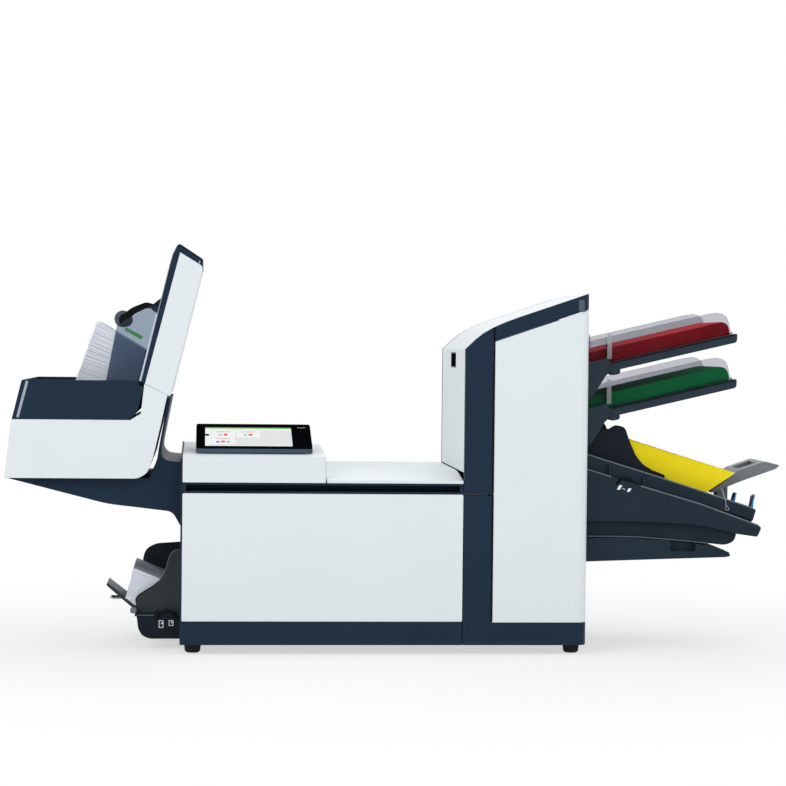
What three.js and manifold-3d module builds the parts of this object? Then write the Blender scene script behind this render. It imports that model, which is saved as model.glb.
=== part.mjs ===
// Desktop envelope inserting machine: a folding and inserting body with a document feeder tower on its right,
// three document feeders, an envelope hopper low on its left and a high capacity stacker above the hopper.
// Millimetres. X runs along the machine to the feeders, Y from the operator's side to the back, Z up.
// While it is built, X is zero at the seam between body and tower, Y at the front face and Z at the floor.
import * as THREE from "three";
import { mergeVertices } from "three/addons/utils/BufferGeometryUtils.js";
import Module from "manifold-3d";

const wasm = await Module();
wasm.setup();

// Driving dimensions of the housing, along the machine and up from the floor.
const BODY_LENGTH = 507;
const TOWER_LENGTH = 227;
const FOOT_HEIGHT = 17;
const PLINTH_HEIGHT = 41;
const DOOR_HEIGHT = 230;
const GRIP_HEIGHT = 19.5;
const DECK_HEIGHT = 18.5;
const STRIP_WIDTH = 50;
const COVER_DEPTH = 12;
const CONSOLE_DEPTH = 310;
const WALL = 3;
const PAN_WALL = 5;
const SEAM = 1.5;
const STRIP_GAP = 3;
const CLEARANCE = 0.3;
const CUT_OVERRUN = 2;
const CORNER_RADIUS = 22;
const SMALL_RADIUS = 6;

// Across the machine, from the front skin in to the sheets: cover, drive gears, side frame, feeder bracket,
// tray and side guide. The back mirrors the front, so the depth follows from the sheet.
const SHEET_WIDTH = 210;
const drive = { gearFront: 10, gearWidth: 12, gearBack: 12, frame: 3, bracket: 7.4, bracketGap: 0.9 };
const guide = {
  trayEdge: 5.9, travel: 25, foot: 12, thickness: 2.5, gap: 2, height: 46, start: 4, endRadius: 34,
  flangeLeft: 77, flangeWidth: 7, flangeDepth: 6 };
const gearFront = COVER_DEPTH + drive.gearFront;
const frameY = gearFront + drive.gearWidth + drive.gearBack;
const trayFront = frameY + drive.frame + CLEARANCE + drive.bracket + drive.bracketGap;
const guideFrontY = trayFront + guide.trayEdge + guide.travel + guide.foot;
const stackFront = guideFrontY + guide.thickness + guide.gap;
const stackRear = stackFront + SHEET_WIDTH;
const BODY_DEPTH = stackFront + stackRear;
const middleY = BODY_DEPTH / 2;

// Levels up from the floor. The feeders stack up from the deck, and the tower closes over them.
const plinthTop = FOOT_HEIGHT + PLINTH_HEIGHT;
const doorBottom = plinthTop + SEAM;
const doorTop = doorBottom + DOOR_HEIGHT;
const deckBottom = doorTop + GRIP_HEIGHT;
const deckTop = deckBottom + DECK_HEIGHT;
const stack = { maxiRise: 5, greenRise: 96.2, pitch: 83.8, topRise: 143.7, towerFall: 78.5, binRise: 5 };
const maxiDeckZ = deckTop + stack.maxiRise;
const greenLevel = maxiDeckZ + stack.greenRise;
const redLevel = greenLevel + stack.pitch;
const towerHigh = redLevel + stack.topRise;
const towerLow = towerHigh - stack.towerFall;
const binBottom = deckBottom + stack.binRise;

// Places that follow from them.
const bodyLeft = -BODY_LENGTH;
const towerLeft = STRIP_WIDTH + STRIP_GAP;
const towerSlope = (towerHigh - towerLow) / TOWER_LENGTH;
const towerTopAt = (x) => towerLow + x * towerSlope;
const rearCoverFront = BODY_DEPTH - COVER_DEPTH;

// Finishes.
const finish = (color, roughness, metalness = 0, opacity = 1) =>
  new THREE.MeshStandardMaterial({ color, roughness, metalness, opacity, transparent: opacity < 1 });
const whitePlastic = finish(0xe6eaec, 0.45);
const navyPlastic = finish(0x2b3a4e, 0.5);
const charcoalPlastic = finish(0x3a4248, 0.6);
const blackPlastic = finish(0x14181d, 0.5);
const greyPlastic = finish(0x8f979c, 0.5);
const clearPlastic = finish(0xd8dde2, 0.1, 0, 0.35);
const steel = finish(0xb4b8bc, 0.35, 0.9);
const rubber = finish(0x1a1a1c, 0.85);
const greenPlastic = finish(0x2f8a45, 0.5);
const redPaper = finish(0xa8101c, 0.8);
const greenPaper = finish(0x0a7a3a, 0.8);
const yellowPaper = finish(0xf7df10, 0.8);
const whitePaper = finish(0xdfe3f0, 0.8);

const model = new THREE.Group();
const place = (name, geometry, material, parent = model) => {
  const mesh = new THREE.Mesh(geometry, material);
  mesh.name = name;
  parent.add(mesh);
  return mesh;
};

// An outline from corners [a, b] or [a, b, radius]: each corner with a radius is rounded by a curve.
const CURVE_STEPS = 4;
const outline = (corners) => {
  const shape = new THREE.Shape();
  const count = corners.length;
  corners.forEach(([a, b, radius = 0], i) => {
    const here = new THREE.Vector2(a, b);
    const toward = (other) => {
      const step = new THREE.Vector2(other[0], other[1]).sub(here);
      return here.clone().add(step.setLength(Math.min(radius, step.length() / 2)));
    };
    const entry = toward(corners[(i + count - 1) % count]);
    const exit = toward(corners[(i + 1) % count]);
    if (i === 0) shape.moveTo(entry.x, entry.y);
    else shape.lineTo(entry.x, entry.y);
    if (radius > 0) shape.quadraticCurveTo(here.x, here.y, exit.x, exit.y);
  });
  shape.closePath();
  return shape;
};

// Outlines drawn from the front (X, Z), from the side (Y, Z) and from above (X, Y), each pulled into a solid.
const pull = (shape, depth) =>
  new THREE.ExtrudeGeometry(shape, { depth, bevelEnabled: false, curveSegments: CURVE_STEPS, steps: 1 });
const frontPrism = (corners, yFront, yBack) =>
  pull(outline(corners), yBack - yFront).rotateX(Math.PI / 2).translate(0, yBack, 0);
const sideAxes = new THREE.Matrix4().makeBasis(
  new THREE.Vector3(0, 1, 0), new THREE.Vector3(0, 0, 1), new THREE.Vector3(1, 0, 0));
const sidePrism = (corners, xLeft, xRight) =>
  pull(outline(corners), xRight - xLeft).applyMatrix4(sideAxes).translate(xLeft, 0, 0);
const planPrism = (corners, zLow, zHigh) => pull(outline(corners), zHigh - zLow).translate(0, 0, zLow);
// Points given as shares of a length and a height; a third share, of the small radius, rounds a corner.
const onShares = ({ x, z, length, height }, shares) => shares.map(([alongShare, upShare, roundShare = 0]) =>
  [x + alongShare * length, z + upShare * height, roundShare * SMALL_RADIUS]);
const rectangle = (a0, b0, a1, b1, radius = 0) =>
  [[a0, b0, radius], [a1, b0, radius], [a1, b1, radius], [a0, b1, radius]];
const box = (x0, y0, z0, x1, y1, z1) => planPrism(rectangle(x0, y0, x1, y1), z0, z1);

// A round bar or disc whose axis runs along Y.
const SIDES = 16;
const barY = (radius, x, z, yFront, yBack, sides = SIDES) =>
  new THREE.CylinderGeometry(radius, radius, yBack - yFront, sides)
    .translate(x, (yFront + yBack) / 2, z);
// The same along X.
const barX = (radius, y, z, xLeft, xRight, sides = SIDES) =>
  new THREE.CylinderGeometry(radius, radius, xRight - xLeft, sides)
    .rotateZ(Math.PI / 2).translate((xLeft + xRight) / 2, y, z);

// Joins and cuts.
const solid = (geometry) => {
  const bare = geometry.clone();
  bare.deleteAttribute("normal");
  bare.deleteAttribute("uv");
  const merged = mergeVertices(bare);
  return new wasm.Manifold(new wasm.Mesh({
    numProp: 3,
    vertProperties: merged.attributes.position.array,
    triVerts: new Uint32Array(merged.index.array),
  }));
};
const geometryOf = (manifold) => {
  const mesh = manifold.getMesh();
  const geometry = new THREE.BufferGeometry();
  geometry.setAttribute("position", new THREE.BufferAttribute(mesh.vertProperties, 3));
  geometry.setIndex(new THREE.BufferAttribute(mesh.triVerts, 1));
  return geometry;
};
const combine = (first, { plus = [], minus = [], within = [] }) => {
  let result = solid(first);
  for (const piece of plus) result = result.add(solid(piece));
  for (const piece of within) result = result.intersect(solid(piece));
  for (const piece of minus) result = result.subtract(solid(piece));
  return geometryOf(result);
};

// Body pan: a navy moulded tray under the body, with the end wall that carries the hopper and the stacker
// and the grip rail above the front door. The envelopes go in through a window in the end wall.
const endWall = { thickness: 3, frontRise: 43.5, rearRise: 62, depthGap: 2, topRadius: 10 };
const gripRail = { front: 1, back: 36, wall: 2.5, end: 6 };
const inlet = { width: 228, rise: 24, height: 96 };
const inletFront = middleY - inlet.width / 2;
const inletBottom = plinthTop + inlet.rise;
const hopperWindow = sidePrism(
  rectangle(inletFront, inletBottom, inletFront + inlet.width, inletBottom + inlet.height, SMALL_RADIUS),
  bodyLeft - endWall.thickness - CUT_OVERRUN, bodyLeft + PAN_WALL + CUT_OVERRUN);
const endWallLeft = bodyLeft - CLEARANCE - endWall.thickness;
const panFloor = 4;
place("body_pan", combine(
  planPrism([[endWallLeft, 0, SMALL_RADIUS], [-SEAM, 0], [-SEAM, BODY_DEPTH],
    [endWallLeft, BODY_DEPTH, SMALL_RADIUS]], FOOT_HEIGHT, plinthTop), {
    plus: [
      sidePrism([[0, FOOT_HEIGHT + PAN_WALL], [BODY_DEPTH, FOOT_HEIGHT + PAN_WALL],
        [BODY_DEPTH, deckBottom], [CONSOLE_DEPTH + endWall.depthGap, deckBottom],
        [CONSOLE_DEPTH + endWall.depthGap, deckBottom + endWall.rearRise, endWall.topRadius],
        [0, deckBottom + endWall.frontRise, endWall.topRadius]],
      endWallLeft, endWallLeft + endWall.thickness),
      box(endWallLeft, gripRail.front, doorTop + SEAM, -SEAM, gripRail.back, deckBottom - SEAM)],
    minus: [
      sidePrism([[gripRail.front - CUT_OVERRUN, doorTop + SEAM + gripRail.wall],
        [gripRail.back - gripRail.wall, doorTop + SEAM + gripRail.wall, SMALL_RADIUS],
        [gripRail.back - gripRail.wall, deckBottom - SEAM - gripRail.wall, SMALL_RADIUS],
        [gripRail.front - CUT_OVERRUN, deckBottom - SEAM - gripRail.wall]],
      bodyLeft + gripRail.end, -SEAM - gripRail.end),
      box(bodyLeft + PAN_WALL, PAN_WALL, FOOT_HEIGHT + panFloor,
        -SEAM - PAN_WALL, BODY_DEPTH - PAN_WALL, plinthTop + CUT_OVERRUN),
      hopperWindow],
  }), navyPlastic);

// Tower base: the navy tray under the tower, with a strip that rises on its front and back to the hood
// and the wall that stands behind the feed rollers.
const stripTop = doorTop - SEAM;
const hoodHinge = {
  y: BODY_DEPTH - COVER_DEPTH / 2, rise: 10.5, pin: 2.5, left: 4, earWidth: 2.2, earRadius: 5, earDrop: 20 };
const hoodAxisZ = doorTop + hoodHinge.rise;
const ear = { left: STRIP_WIDTH + CLEARANCE, right: STRIP_WIDTH + CLEARANCE + hoodHinge.earWidth };
const bay = { inset: 81, thickness: 4, drop: 80, frameGap: 1 };
const bayX = TOWER_LENGTH - bay.inset;
const bayFront = frameY + drive.frame + bay.frameGap;
const towerPlan = [[0, 0], [TOWER_LENGTH, 0, CORNER_RADIUS],
  [TOWER_LENGTH, BODY_DEPTH, CORNER_RADIUS], [0, BODY_DEPTH]];
place("tower_base", combine(combine(planPrism(towerPlan, FOOT_HEIGHT, plinthTop), {
  minus: [box(PAN_WALL, COVER_DEPTH, FOOT_HEIGHT + panFloor,
    TOWER_LENGTH - PAN_WALL, rearCoverFront, plinthTop + CUT_OVERRUN)],
}), {
  plus: [
    box(0, 0, FOOT_HEIGHT, STRIP_WIDTH, COVER_DEPTH, stripTop),
    box(0, rearCoverFront, FOOT_HEIGHT, STRIP_WIDTH, BODY_DEPTH, stripTop),
    box(bayX, bayFront, FOOT_HEIGHT,
      bayX + bay.thickness, BODY_DEPTH - bayFront, towerTopAt(bayX) - bay.drop),
    box(STRIP_WIDTH - CLEARANCE, hoodHinge.y - hoodHinge.earRadius, stripTop - hoodHinge.earDrop,
      ear.right, hoodHinge.y + hoodHinge.earRadius, stripTop),
    sidePrism(rectangle(hoodHinge.y - hoodHinge.earRadius, stripTop - hoodHinge.earDrop,
      hoodHinge.y + hoodHinge.earRadius, hoodAxisZ + hoodHinge.earRadius, hoodHinge.earRadius),
    ear.left, ear.right),
    barX(hoodHinge.pin, hoodHinge.y, hoodAxisZ, hoodHinge.left, ear.right - CLEARANCE)],
}), navyPlastic);

// Feet: four tapered rubber feet let into the underside.
const foot = { topRadius: 15.5, bottomRadius: 14, insetLeft: 20, insetRight: 24, insetFront: 36, lip: 3 };
const footX = { left: bodyLeft + foot.insetLeft, right: TOWER_LENGTH - foot.insetRight };
const footY = { front: foot.insetFront, rear: BODY_DEPTH - foot.insetFront };
const footProfile = [
  new THREE.Vector2(0, 0),
  new THREE.Vector2(foot.bottomRadius - foot.lip, 0),
  new THREE.Vector2(foot.bottomRadius, foot.lip),
  new THREE.Vector2(foot.topRadius, FOOT_HEIGHT - CLEARANCE),
  new THREE.Vector2(0, FOOT_HEIGHT - CLEARANCE)];
for (const side of ["left", "right"]) {
  for (const end of ["front", "rear"]) {
    place(`foot_${end}_${side}`,
      new THREE.LatheGeometry(footProfile, SIDES).rotateX(Math.PI / 2)
        .translate(footX[side], footY[end], 0), rubber);
  }
}

// Side frames: two steel plates that stand in the pan and carry every shaft.
const frame = { inset: 10, bodyDrop: 9, towerGap: 8, towerInset: 10, towerDrop: 60 };
const frameTop = deckBottom - frame.bodyDrop;
const frameBottom = FOOT_HEIGHT + panFloor + CLEARANCE;
const frameFront = { front: frameY, back: frameY + drive.frame };
const frameRear = { front: BODY_DEPTH - frameY - drive.frame, back: BODY_DEPTH - frameY };
const frameRight = TOWER_LENGTH - frame.towerInset;
const frameTowerLeft = towerLeft + frame.towerGap;
const frameOutline = [
  [bodyLeft + frame.inset, frameBottom],
  [-frame.inset, frameBottom],
  [-frame.inset, plinthTop + CLEARANCE + SEAM],
  [frame.inset, plinthTop + CLEARANCE + SEAM],
  [frame.inset, frameBottom],
  [frameRight, frameBottom],
  [frameRight, towerTopAt(frameRight) - frame.towerDrop, SMALL_RADIUS],
  [frameTowerLeft, towerTopAt(frameTowerLeft) - frame.towerDrop, SMALL_RADIUS],
  [frameTowerLeft, frameTop],
  [bodyLeft + frame.inset, frameTop, SMALL_RADIUS]];

// Gear train on the front frame: a hand knob's wheel turns the lower fold roller, which turns the upper one.
const gear = { module: 2.5, knobTeeth: 24, rollerTeeth: 13, pressure: 20 };
const toothShare = 0.86;
const rootShare = 1.3;
const tipShare = 0.9;
const involute = (angle) => Math.tan(angle) - angle;
const gearOutline = (teeth, turn) => {
  const pressure = THREE.MathUtils.degToRad(gear.pressure);
  const pitch = gear.module * teeth / 2;
  const base = pitch * Math.cos(pressure);
  const rootRadius = pitch - gear.module * rootShare;
  const tipRadius = pitch + gear.module * tipShare;
  const halfAtPitch = Math.PI / (2 * teeth) * toothShare;
  const halfAt = (radius) => {
    const angle = Math.acos(Math.min(1, base / Math.max(radius, base)));
    return halfAtPitch + involute(pressure) - involute(angle);
  };
  const lowRadius = Math.max(base, rootRadius + gear.module / 4);
  const radii = [rootRadius, lowRadius, pitch, tipRadius];
  const points = [];
  for (let tooth = 0; tooth < teeth; tooth += 1) {
    const middle = turn + tooth * 2 * Math.PI / teeth;
    for (const radius of radii) {
      const angle = middle - halfAt(radius);
      points.push([radius * Math.cos(angle), radius * Math.sin(angle)]);
    }
    for (const radius of [...radii].reverse()) {
      const angle = middle + halfAt(radius);
      points.push([radius * Math.cos(angle), radius * Math.sin(angle)]);
    }
  }
  return points;
};
const gearAt = (teeth, turn, x, z) =>
  frontPrism(gearOutline(teeth, turn), gearFront, gearFront + drive.gearWidth).translate(x, 0, z);

// Fold rollers: rubber on steel shafts that run through both frames, each with its gear at the front end.
const shaft = { radius: 6, gap: 0.5, overhang: 6, endFront: 18 };
const foldRoller = { endInset: 207, rise: 92, radius: 16, inset: 30, sides: 20 };
const rollerSpacing = gear.module * gear.rollerTeeth;
const knobDistance = gear.module * (gear.rollerTeeth + gear.knobTeeth) / 2;
const rollerBody = (x, z) => [
  barY(foldRoller.radius, x, z,
    frameFront.back + foldRoller.inset, frameRear.front - foldRoller.inset, foldRoller.sides)];
const shaftBar = (x, z, yFront) => barY(shaft.radius, x, z, yFront, frameRear.back + shaft.overhang);
const lowerRoller = { x: bodyLeft + foldRoller.endInset, z: plinthTop + foldRoller.rise };
const upperRoller = { x: lowerRoller.x, z: lowerRoller.z + rollerSpacing };
const knobAxis = { x: lowerRoller.x + knobDistance, z: lowerRoller.z };
const halfTooth = (teeth) => Math.PI / teeth;
place("fold_roller_lower", combine(shaftBar(lowerRoller.x, lowerRoller.z, shaft.endFront), {
  plus: [...rollerBody(lowerRoller.x, lowerRoller.z),
    gearAt(gear.rollerTeeth, 0, lowerRoller.x, lowerRoller.z)],
}), rubber);
const upperTurn = halfTooth(gear.rollerTeeth);
place("fold_roller_upper", combine(shaftBar(upperRoller.x, upperRoller.z, shaft.endFront), {
  plus: [...rollerBody(upperRoller.x, upperRoller.z),
    gearAt(gear.rollerTeeth, upperTurn, upperRoller.x, upperRoller.z)],
}), rubber);

// Transport knob: the green hand wheel that moves the paper by hand, on a stub shaft with the driving wheel.
const knob = { radius: 21, depth: 9, dimples: 8, dimpleRadius: 5 };
const knobFront = gearFront - knob.depth / 2;
const knobDimples = Array.from({ length: knob.dimples }, (_, i) => {
  const turn = i * 2 * Math.PI / knob.dimples;
  return barY(knob.dimpleRadius, knobAxis.x + knob.radius * Math.cos(turn),
    knobAxis.z + knob.radius * Math.sin(turn), knobFront - CUT_OVERRUN, gearFront, SIDES / 2);
});
place("transport_knob", combine(combine(
  barY(knob.radius, knobAxis.x, knobAxis.z, knobFront, gearFront + drive.gearWidth / 2, 2 * SIDES),
  { minus: knobDimples }), {
  plus: [gearAt(gear.knobTeeth, Math.PI + halfTooth(gear.knobTeeth), knobAxis.x, knobAxis.z),
    barY(shaft.radius, knobAxis.x, knobAxis.z, gearFront, frameFront.back + shaft.overhang)],
}), greenPlastic);

// Feeder geometry shared by the red and green feeders: places are along the tray and square to it.
const feeder = {
  inset: 28, slope: 13.4, left: -24, endStop: 3, thickness: 16, skin: 4, rim: 4,
  latchLeft: 74, latchRight: 92, latchDrop: 8, latchDepth: 40 };
const sheet = { length: 297, start: 20, stackHeight: 25, endRadius: 14 };
const feederRootX = TOWER_LENGTH - feeder.inset;
const trayEnd = sheet.start + sheet.length + feeder.endStop;
const guideEndX = trayEnd - guide.gap;
const feederRear = BODY_DEPTH - trayFront;
const feederAngle = THREE.MathUtils.degToRad(feeder.slope);
const feedRoller = { inset: 49, rise: 36, radius: 17, width: 60, sides: 18 };
const feedRollerX = TOWER_LENGTH - feedRoller.inset;

const feederBase = () => combine(
  frontPrism([[feeder.left, -feeder.thickness], [trayEnd - feeder.rim, -feeder.thickness, SMALL_RADIUS],
    [trayEnd, 0, feeder.rim], [feeder.left, 0]], trayFront, feederRear), {
    plus: [frontPrism(
      [[feeder.latchLeft, -feeder.thickness + feeder.skin],
        [feeder.latchLeft, -feeder.thickness - feeder.latchDrop, SMALL_RADIUS],
        [feeder.latchRight, -feeder.thickness - feeder.latchDrop, SMALL_RADIUS],
        [feeder.latchRight, -feeder.thickness + feeder.skin]],
      trayFront, trayFront + feeder.latchDepth)],
    minus: [
      frontPrism(rectangle(feeder.latchRight + feeder.rim, -feeder.thickness - CUT_OVERRUN,
        trayEnd - 2 * SMALL_RADIUS, -feeder.skin), trayFront + feeder.rim, feederRear - feeder.rim)],
  });
// Clear side guide with its foot turned outwards and the stiffening flange near the feeding end.
const feederGuide = () => combine(
  frontPrism([[guide.start, CLEARANCE], [guideEndX, CLEARANCE],
    [guideEndX, guide.height, guide.endRadius], [guide.start, guide.height, SMALL_RADIUS]],
  guideFrontY, guideFrontY + guide.thickness), {
    plus: [
      frontPrism(rectangle(guide.start, CLEARANCE, guideEndX, CLEARANCE + guide.thickness),
        guideFrontY - guide.foot, guideFrontY + guide.thickness / 2),
      frontPrism(rectangle(guide.flangeLeft, CLEARANCE, guide.flangeLeft + guide.flangeWidth, guide.height),
        guideFrontY - guide.flangeDepth, guideFrontY + guide.thickness / 2)],
  });
const feederStack = () => frontPrism(
  [[sheet.start, CLEARANCE], [sheet.start + sheet.length, CLEARANCE],
    [sheet.start + sheet.length, sheet.stackHeight, sheet.endRadius], [sheet.start, sheet.stackHeight]],
  stackFront, stackRear);

const feeders = [
  { name: "red", level: redLevel, paper: redPaper },
  { name: "green", level: greenLevel, paper: greenPaper }];
for (const { name, level, paper } of feeders) {
  const group = new THREE.Group();
  group.position.set(feederRootX, 0, level);
  group.rotation.y = -feederAngle;
  model.add(group);
  place(`${name}_tray`, feederBase(), charcoalPlastic, group);
  place(`${name}_paper_stack`, feederStack(), paper, group);
  place(`${name}_guide_front`, feederGuide(), clearPlastic, group);
  const rear = place(`${name}_guide_rear`, feederGuide(), clearPlastic, group);
  rear.scale.y = -1;
  rear.position.y = BODY_DEPTH;
}

// Feed rollers: three rubber tyres on a shaft above the feeding end of each tray.
const feedRollerZ = (level) => level + (feedRollerX - feederRootX) * Math.tan(feederAngle) + feedRoller.rise;
for (const { name, level } of feeders) {
  const z = feedRollerZ(level);
  place(`${name}_feed_roller`, combine(shaftBar(feedRollerX, z, frameFront.front - shaft.overhang), {
    plus: [-1, 0, 1].map((i) => {
      const centre = middleY + i * feedRoller.width * 1.5;
      return barY(feedRoller.radius, feedRollerX, z,
        centre - feedRoller.width / 2, centre + feedRoller.width / 2, feedRoller.sides);
    }),
  }), rubber);
}

// The frames are bored for every shaft.
const journal = { radius: shaft.radius + shaft.gap };
const bore = (x, z, plate) =>
  barY(journal.radius, x, z, plate.front - CUT_OVERRUN, plate.back + CUT_OVERRUN);
const throughShafts = [lowerRoller, upperRoller,
  ...feeders.map(({ level }) => ({ x: feedRollerX, z: feedRollerZ(level) }))];
for (const [name, plate, stubs] of [
  ["front_side_frame", frameFront, [knobAxis]], ["rear_side_frame", frameRear, []]]) {
  place(name, combine(frontPrism(frameOutline, plate.front, plate.back), {
    minus: [...throughShafts, ...stubs].map(({ x, z }) => bore(x, z, plate)),
  }), steel);
}

// Feeder brackets: a toothed plate on the inner face of each frame, with a nose beside each tray.
const bracket = {
  inset: 31, stemInset: 5, armReach: 15.5, noseReach: 43, noseRadius: 3, armDrop: 42, kneeDrop: 7,
  noseDrop: 1.4, noseRise: 26, backRise: 20, rootRise: 15, rootDrop: 62, footDrop: 70 };
const bracketLeft = TOWER_LENGTH - bracket.inset;
const stemX = TOWER_LENGTH - bracket.stemInset;
const armX = TOWER_LENGTH + bracket.armReach;
const noseX = TOWER_LENGTH + bracket.noseReach;
const bracketTeeth = [...feeders].reverse().flatMap(({ level }) => [
  [stemX, level - bracket.rootDrop],
  [armX, level - bracket.armDrop],
  [noseX - SMALL_RADIUS, level - bracket.kneeDrop, bracket.noseRadius],
  [noseX, level - bracket.noseDrop],
  [noseX, level + bracket.noseRise, bracket.noseRadius],
  [armX, level + bracket.backRise],
  [stemX, level + bracket.rootRise]]);
const bracketOutline = [
  [bracketLeft, feeders[1].level - bracket.footDrop],
  ...bracketTeeth,
  [bracketLeft, feeders[0].level + bracket.rootRise]];
place("feeder_bracket_front", frontPrism(bracketOutline,
  frameFront.back + CLEARANCE, frameFront.back + CLEARANCE + drive.bracket), charcoalPlastic);
place("feeder_bracket_rear", frontPrism(bracketOutline,
  frameRear.front - CLEARANCE - drive.bracket, frameRear.front - CLEARANCE), charcoalPlastic);

// Skin panels are trays: an outer skin with a rim turned inwards and ribs across it.
const ribbed = (x0, z0, x1, z1, yOuter, yInner, ribs) => {
  const near = Math.min(yOuter, yInner);
  const far = Math.max(yOuter, yInner);
  const inward = Math.sign(yInner - yOuter);
  const pocketOuter = yOuter + inward * WALL;
  const pocketInner = yInner + inward * CUT_OVERRUN;
  const step = (x1 - x0 - WALL) / (ribs + 1);
  const pockets = Array.from({ length: ribs + 1 }, (_, i) => frontPrism(
    rectangle(x0 + WALL + i * step, z0 + WALL, x0 + (i + 1) * step, z1 - WALL),
    Math.min(pocketOuter, pocketInner), Math.max(pocketOuter, pocketInner)));
  return combine(frontPrism(rectangle(x0, z0, x1, z1, WALL), near, far), { minus: pockets });
};

// Front door: swings down about its lower edge.
const doorRibs = 3;
place("front_door", ribbed(bodyLeft, doorBottom, -SEAM, doorTop, 0, COVER_DEPTH, doorRibs), whitePlastic);

// Power inlet and its place in the rear cover.
const inletModule = {
  inset: 60, rise: 52, width: 50, height: 58, depth: 30, flange: 3, flangeOver: 4, corner: 4 };
const inletX = -inletModule.inset;
const inletZ = plinthTop + inletModule.rise;
const socket = { width: 24, height: 19, depth: 18, corner: 3, lift: -12 };
const pin = { width: 2, height: 4, length: 12, spread: 7, drop: 3 };
const rocker = { width: 20, height: 13, depth: 8, lift: 15, wellDepth: 12, crown: 2, pivotRadius: 2 };

// Body rear cover: ribbed like the door, with a louvred field and the cut-out for the power inlet.
const louvre = { count: 9, inset: 87, pitch: 14, width: 5, rise: 70.5, height: 90 };
const louvreBottom = doorBottom + louvre.rise;
place("body_rear_cover", combine(
  ribbed(bodyLeft, doorBottom, -SEAM, deckBottom - SEAM, BODY_DEPTH, rearCoverFront, doorRibs), {
    minus: [
      ...Array.from({ length: louvre.count }, (_, i) => {
        const x = bodyLeft + louvre.inset + i * louvre.pitch;
        return box(x, rearCoverFront - CUT_OVERRUN, louvreBottom,
          x + louvre.width, BODY_DEPTH + CUT_OVERRUN, louvreBottom + louvre.height);
      }),
      frontPrism(rectangle(
        inletX - inletModule.width / 2 - CLEARANCE, inletZ - inletModule.height / 2 - CLEARANCE,
        inletX + inletModule.width / 2 + CLEARANCE, inletZ + inletModule.height / 2 + CLEARANCE,
        inletModule.corner), rearCoverFront - CUT_OVERRUN, BODY_DEPTH + CUT_OVERRUN)],
  }), whitePlastic);

const socketZ = inletZ + socket.lift;
const rockerZ = inletZ + rocker.lift;
const inletBack = BODY_DEPTH + inletModule.flange;
const pinPlaces = [[-pin.spread, -pin.drop], [0, pin.drop], [pin.spread, -pin.drop]];
place("power_inlet", combine(frontPrism(rectangle(
  inletX - inletModule.width / 2, inletZ - inletModule.height / 2,
  inletX + inletModule.width / 2, inletZ + inletModule.height / 2, inletModule.corner),
inletBack - inletModule.depth, inletBack), {
  plus: [frontPrism(rectangle(
    inletX - inletModule.width / 2 - inletModule.flangeOver,
    inletZ - inletModule.height / 2 - inletModule.flangeOver,
    inletX + inletModule.width / 2 + inletModule.flangeOver,
    inletZ + inletModule.height / 2 + inletModule.flangeOver, inletModule.corner),
  BODY_DEPTH + CLEARANCE, inletBack)],
  minus: [
    combine(frontPrism([
      [inletX - socket.width / 2, socketZ - socket.height / 2, socket.corner],
      [inletX + socket.width / 2, socketZ - socket.height / 2, socket.corner],
      [inletX + socket.width / 2, socketZ + socket.height / 4],
      [inletX + socket.width / 3, socketZ + socket.height / 2],
      [inletX - socket.width / 3, socketZ + socket.height / 2],
      [inletX - socket.width / 2, socketZ + socket.height / 4]],
    inletBack - socket.depth, inletBack + CUT_OVERRUN), {
      minus: pinPlaces.map(([dx, dz]) => box(
        inletX + dx - pin.width / 2, inletBack - socket.depth - CUT_OVERRUN,
        socketZ + dz - pin.height / 2,
        inletX + dx + pin.width / 2, inletBack - socket.depth + pin.length,
        socketZ + dz + pin.height / 2)),
    }),
    box(inletX - rocker.width / 2 - CLEARANCE, inletBack - rocker.wellDepth,
      rockerZ - rocker.height / 2 - 2 * CLEARANCE,
      inletX + rocker.width / 2 + CLEARANCE, inletBack + CUT_OVERRUN,
      rockerZ + rocker.height / 2 + 2 * CLEARANCE)],
}), blackPlastic);

// Rocker of the power switch: tips about its middle.
place("power_switch", sidePrism([
  [inletBack - rocker.depth, rockerZ - rocker.height / 4],
  [inletBack, rockerZ - rocker.height / 2],
  [inletBack - rocker.crown, rockerZ],
  [inletBack, rockerZ + rocker.height / 2],
  [inletBack - rocker.depth, rockerZ + rocker.height / 4]],
inletX - rocker.width / 2, inletX + rocker.width / 2), blackPlastic);

// Console: the raised white housing at the left of the deck that carries the display.
const consoleBox = { length: 257.5, frontHeight: 46.5, backHeight: 60, bevel: 40 };
const consoleRight = bodyLeft + consoleBox.length;
const consoleFrontTop = deckBottom + consoleBox.frontHeight;
const consoleBackTop = deckBottom + consoleBox.backHeight;
const consoleSlope = (consoleBackTop - consoleFrontTop) / CONSOLE_DEPTH;
const consoleTopAt = (y) => consoleFrontTop + consoleSlope * y;
const consolePlan = (inset) => [
  [bodyLeft + inset, inset], [consoleRight - inset, inset, SMALL_RADIUS],
  [consoleRight - inset, CONSOLE_DEPTH - consoleBox.bevel, SMALL_RADIUS],
  [consoleRight - consoleBox.bevel, CONSOLE_DEPTH - inset, SMALL_RADIUS],
  [bodyLeft + inset, CONSOLE_DEPTH - inset]];
const consoleSide = (drop) => sidePrism([
  [-CUT_OVERRUN, deckBottom - CUT_OVERRUN], [BODY_DEPTH, deckBottom - CUT_OVERRUN],
  [BODY_DEPTH, consoleTopAt(BODY_DEPTH) - drop], [-CUT_OVERRUN, consoleTopAt(-CUT_OVERRUN) - drop]],
bodyLeft - CUT_OVERRUN, consoleRight + CUT_OVERRUN);
place("console_housing", combine(planPrism(consolePlan(0), deckBottom, consoleBackTop + SMALL_RADIUS), {
  within: [consoleSide(0)],
  minus: [combine(planPrism(consolePlan(WALL), deckBottom - CUT_OVERRUN, consoleBackTop + SMALL_RADIUS), {
    within: [consoleSide(WALL)],
  })],
}), whitePlastic);

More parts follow.
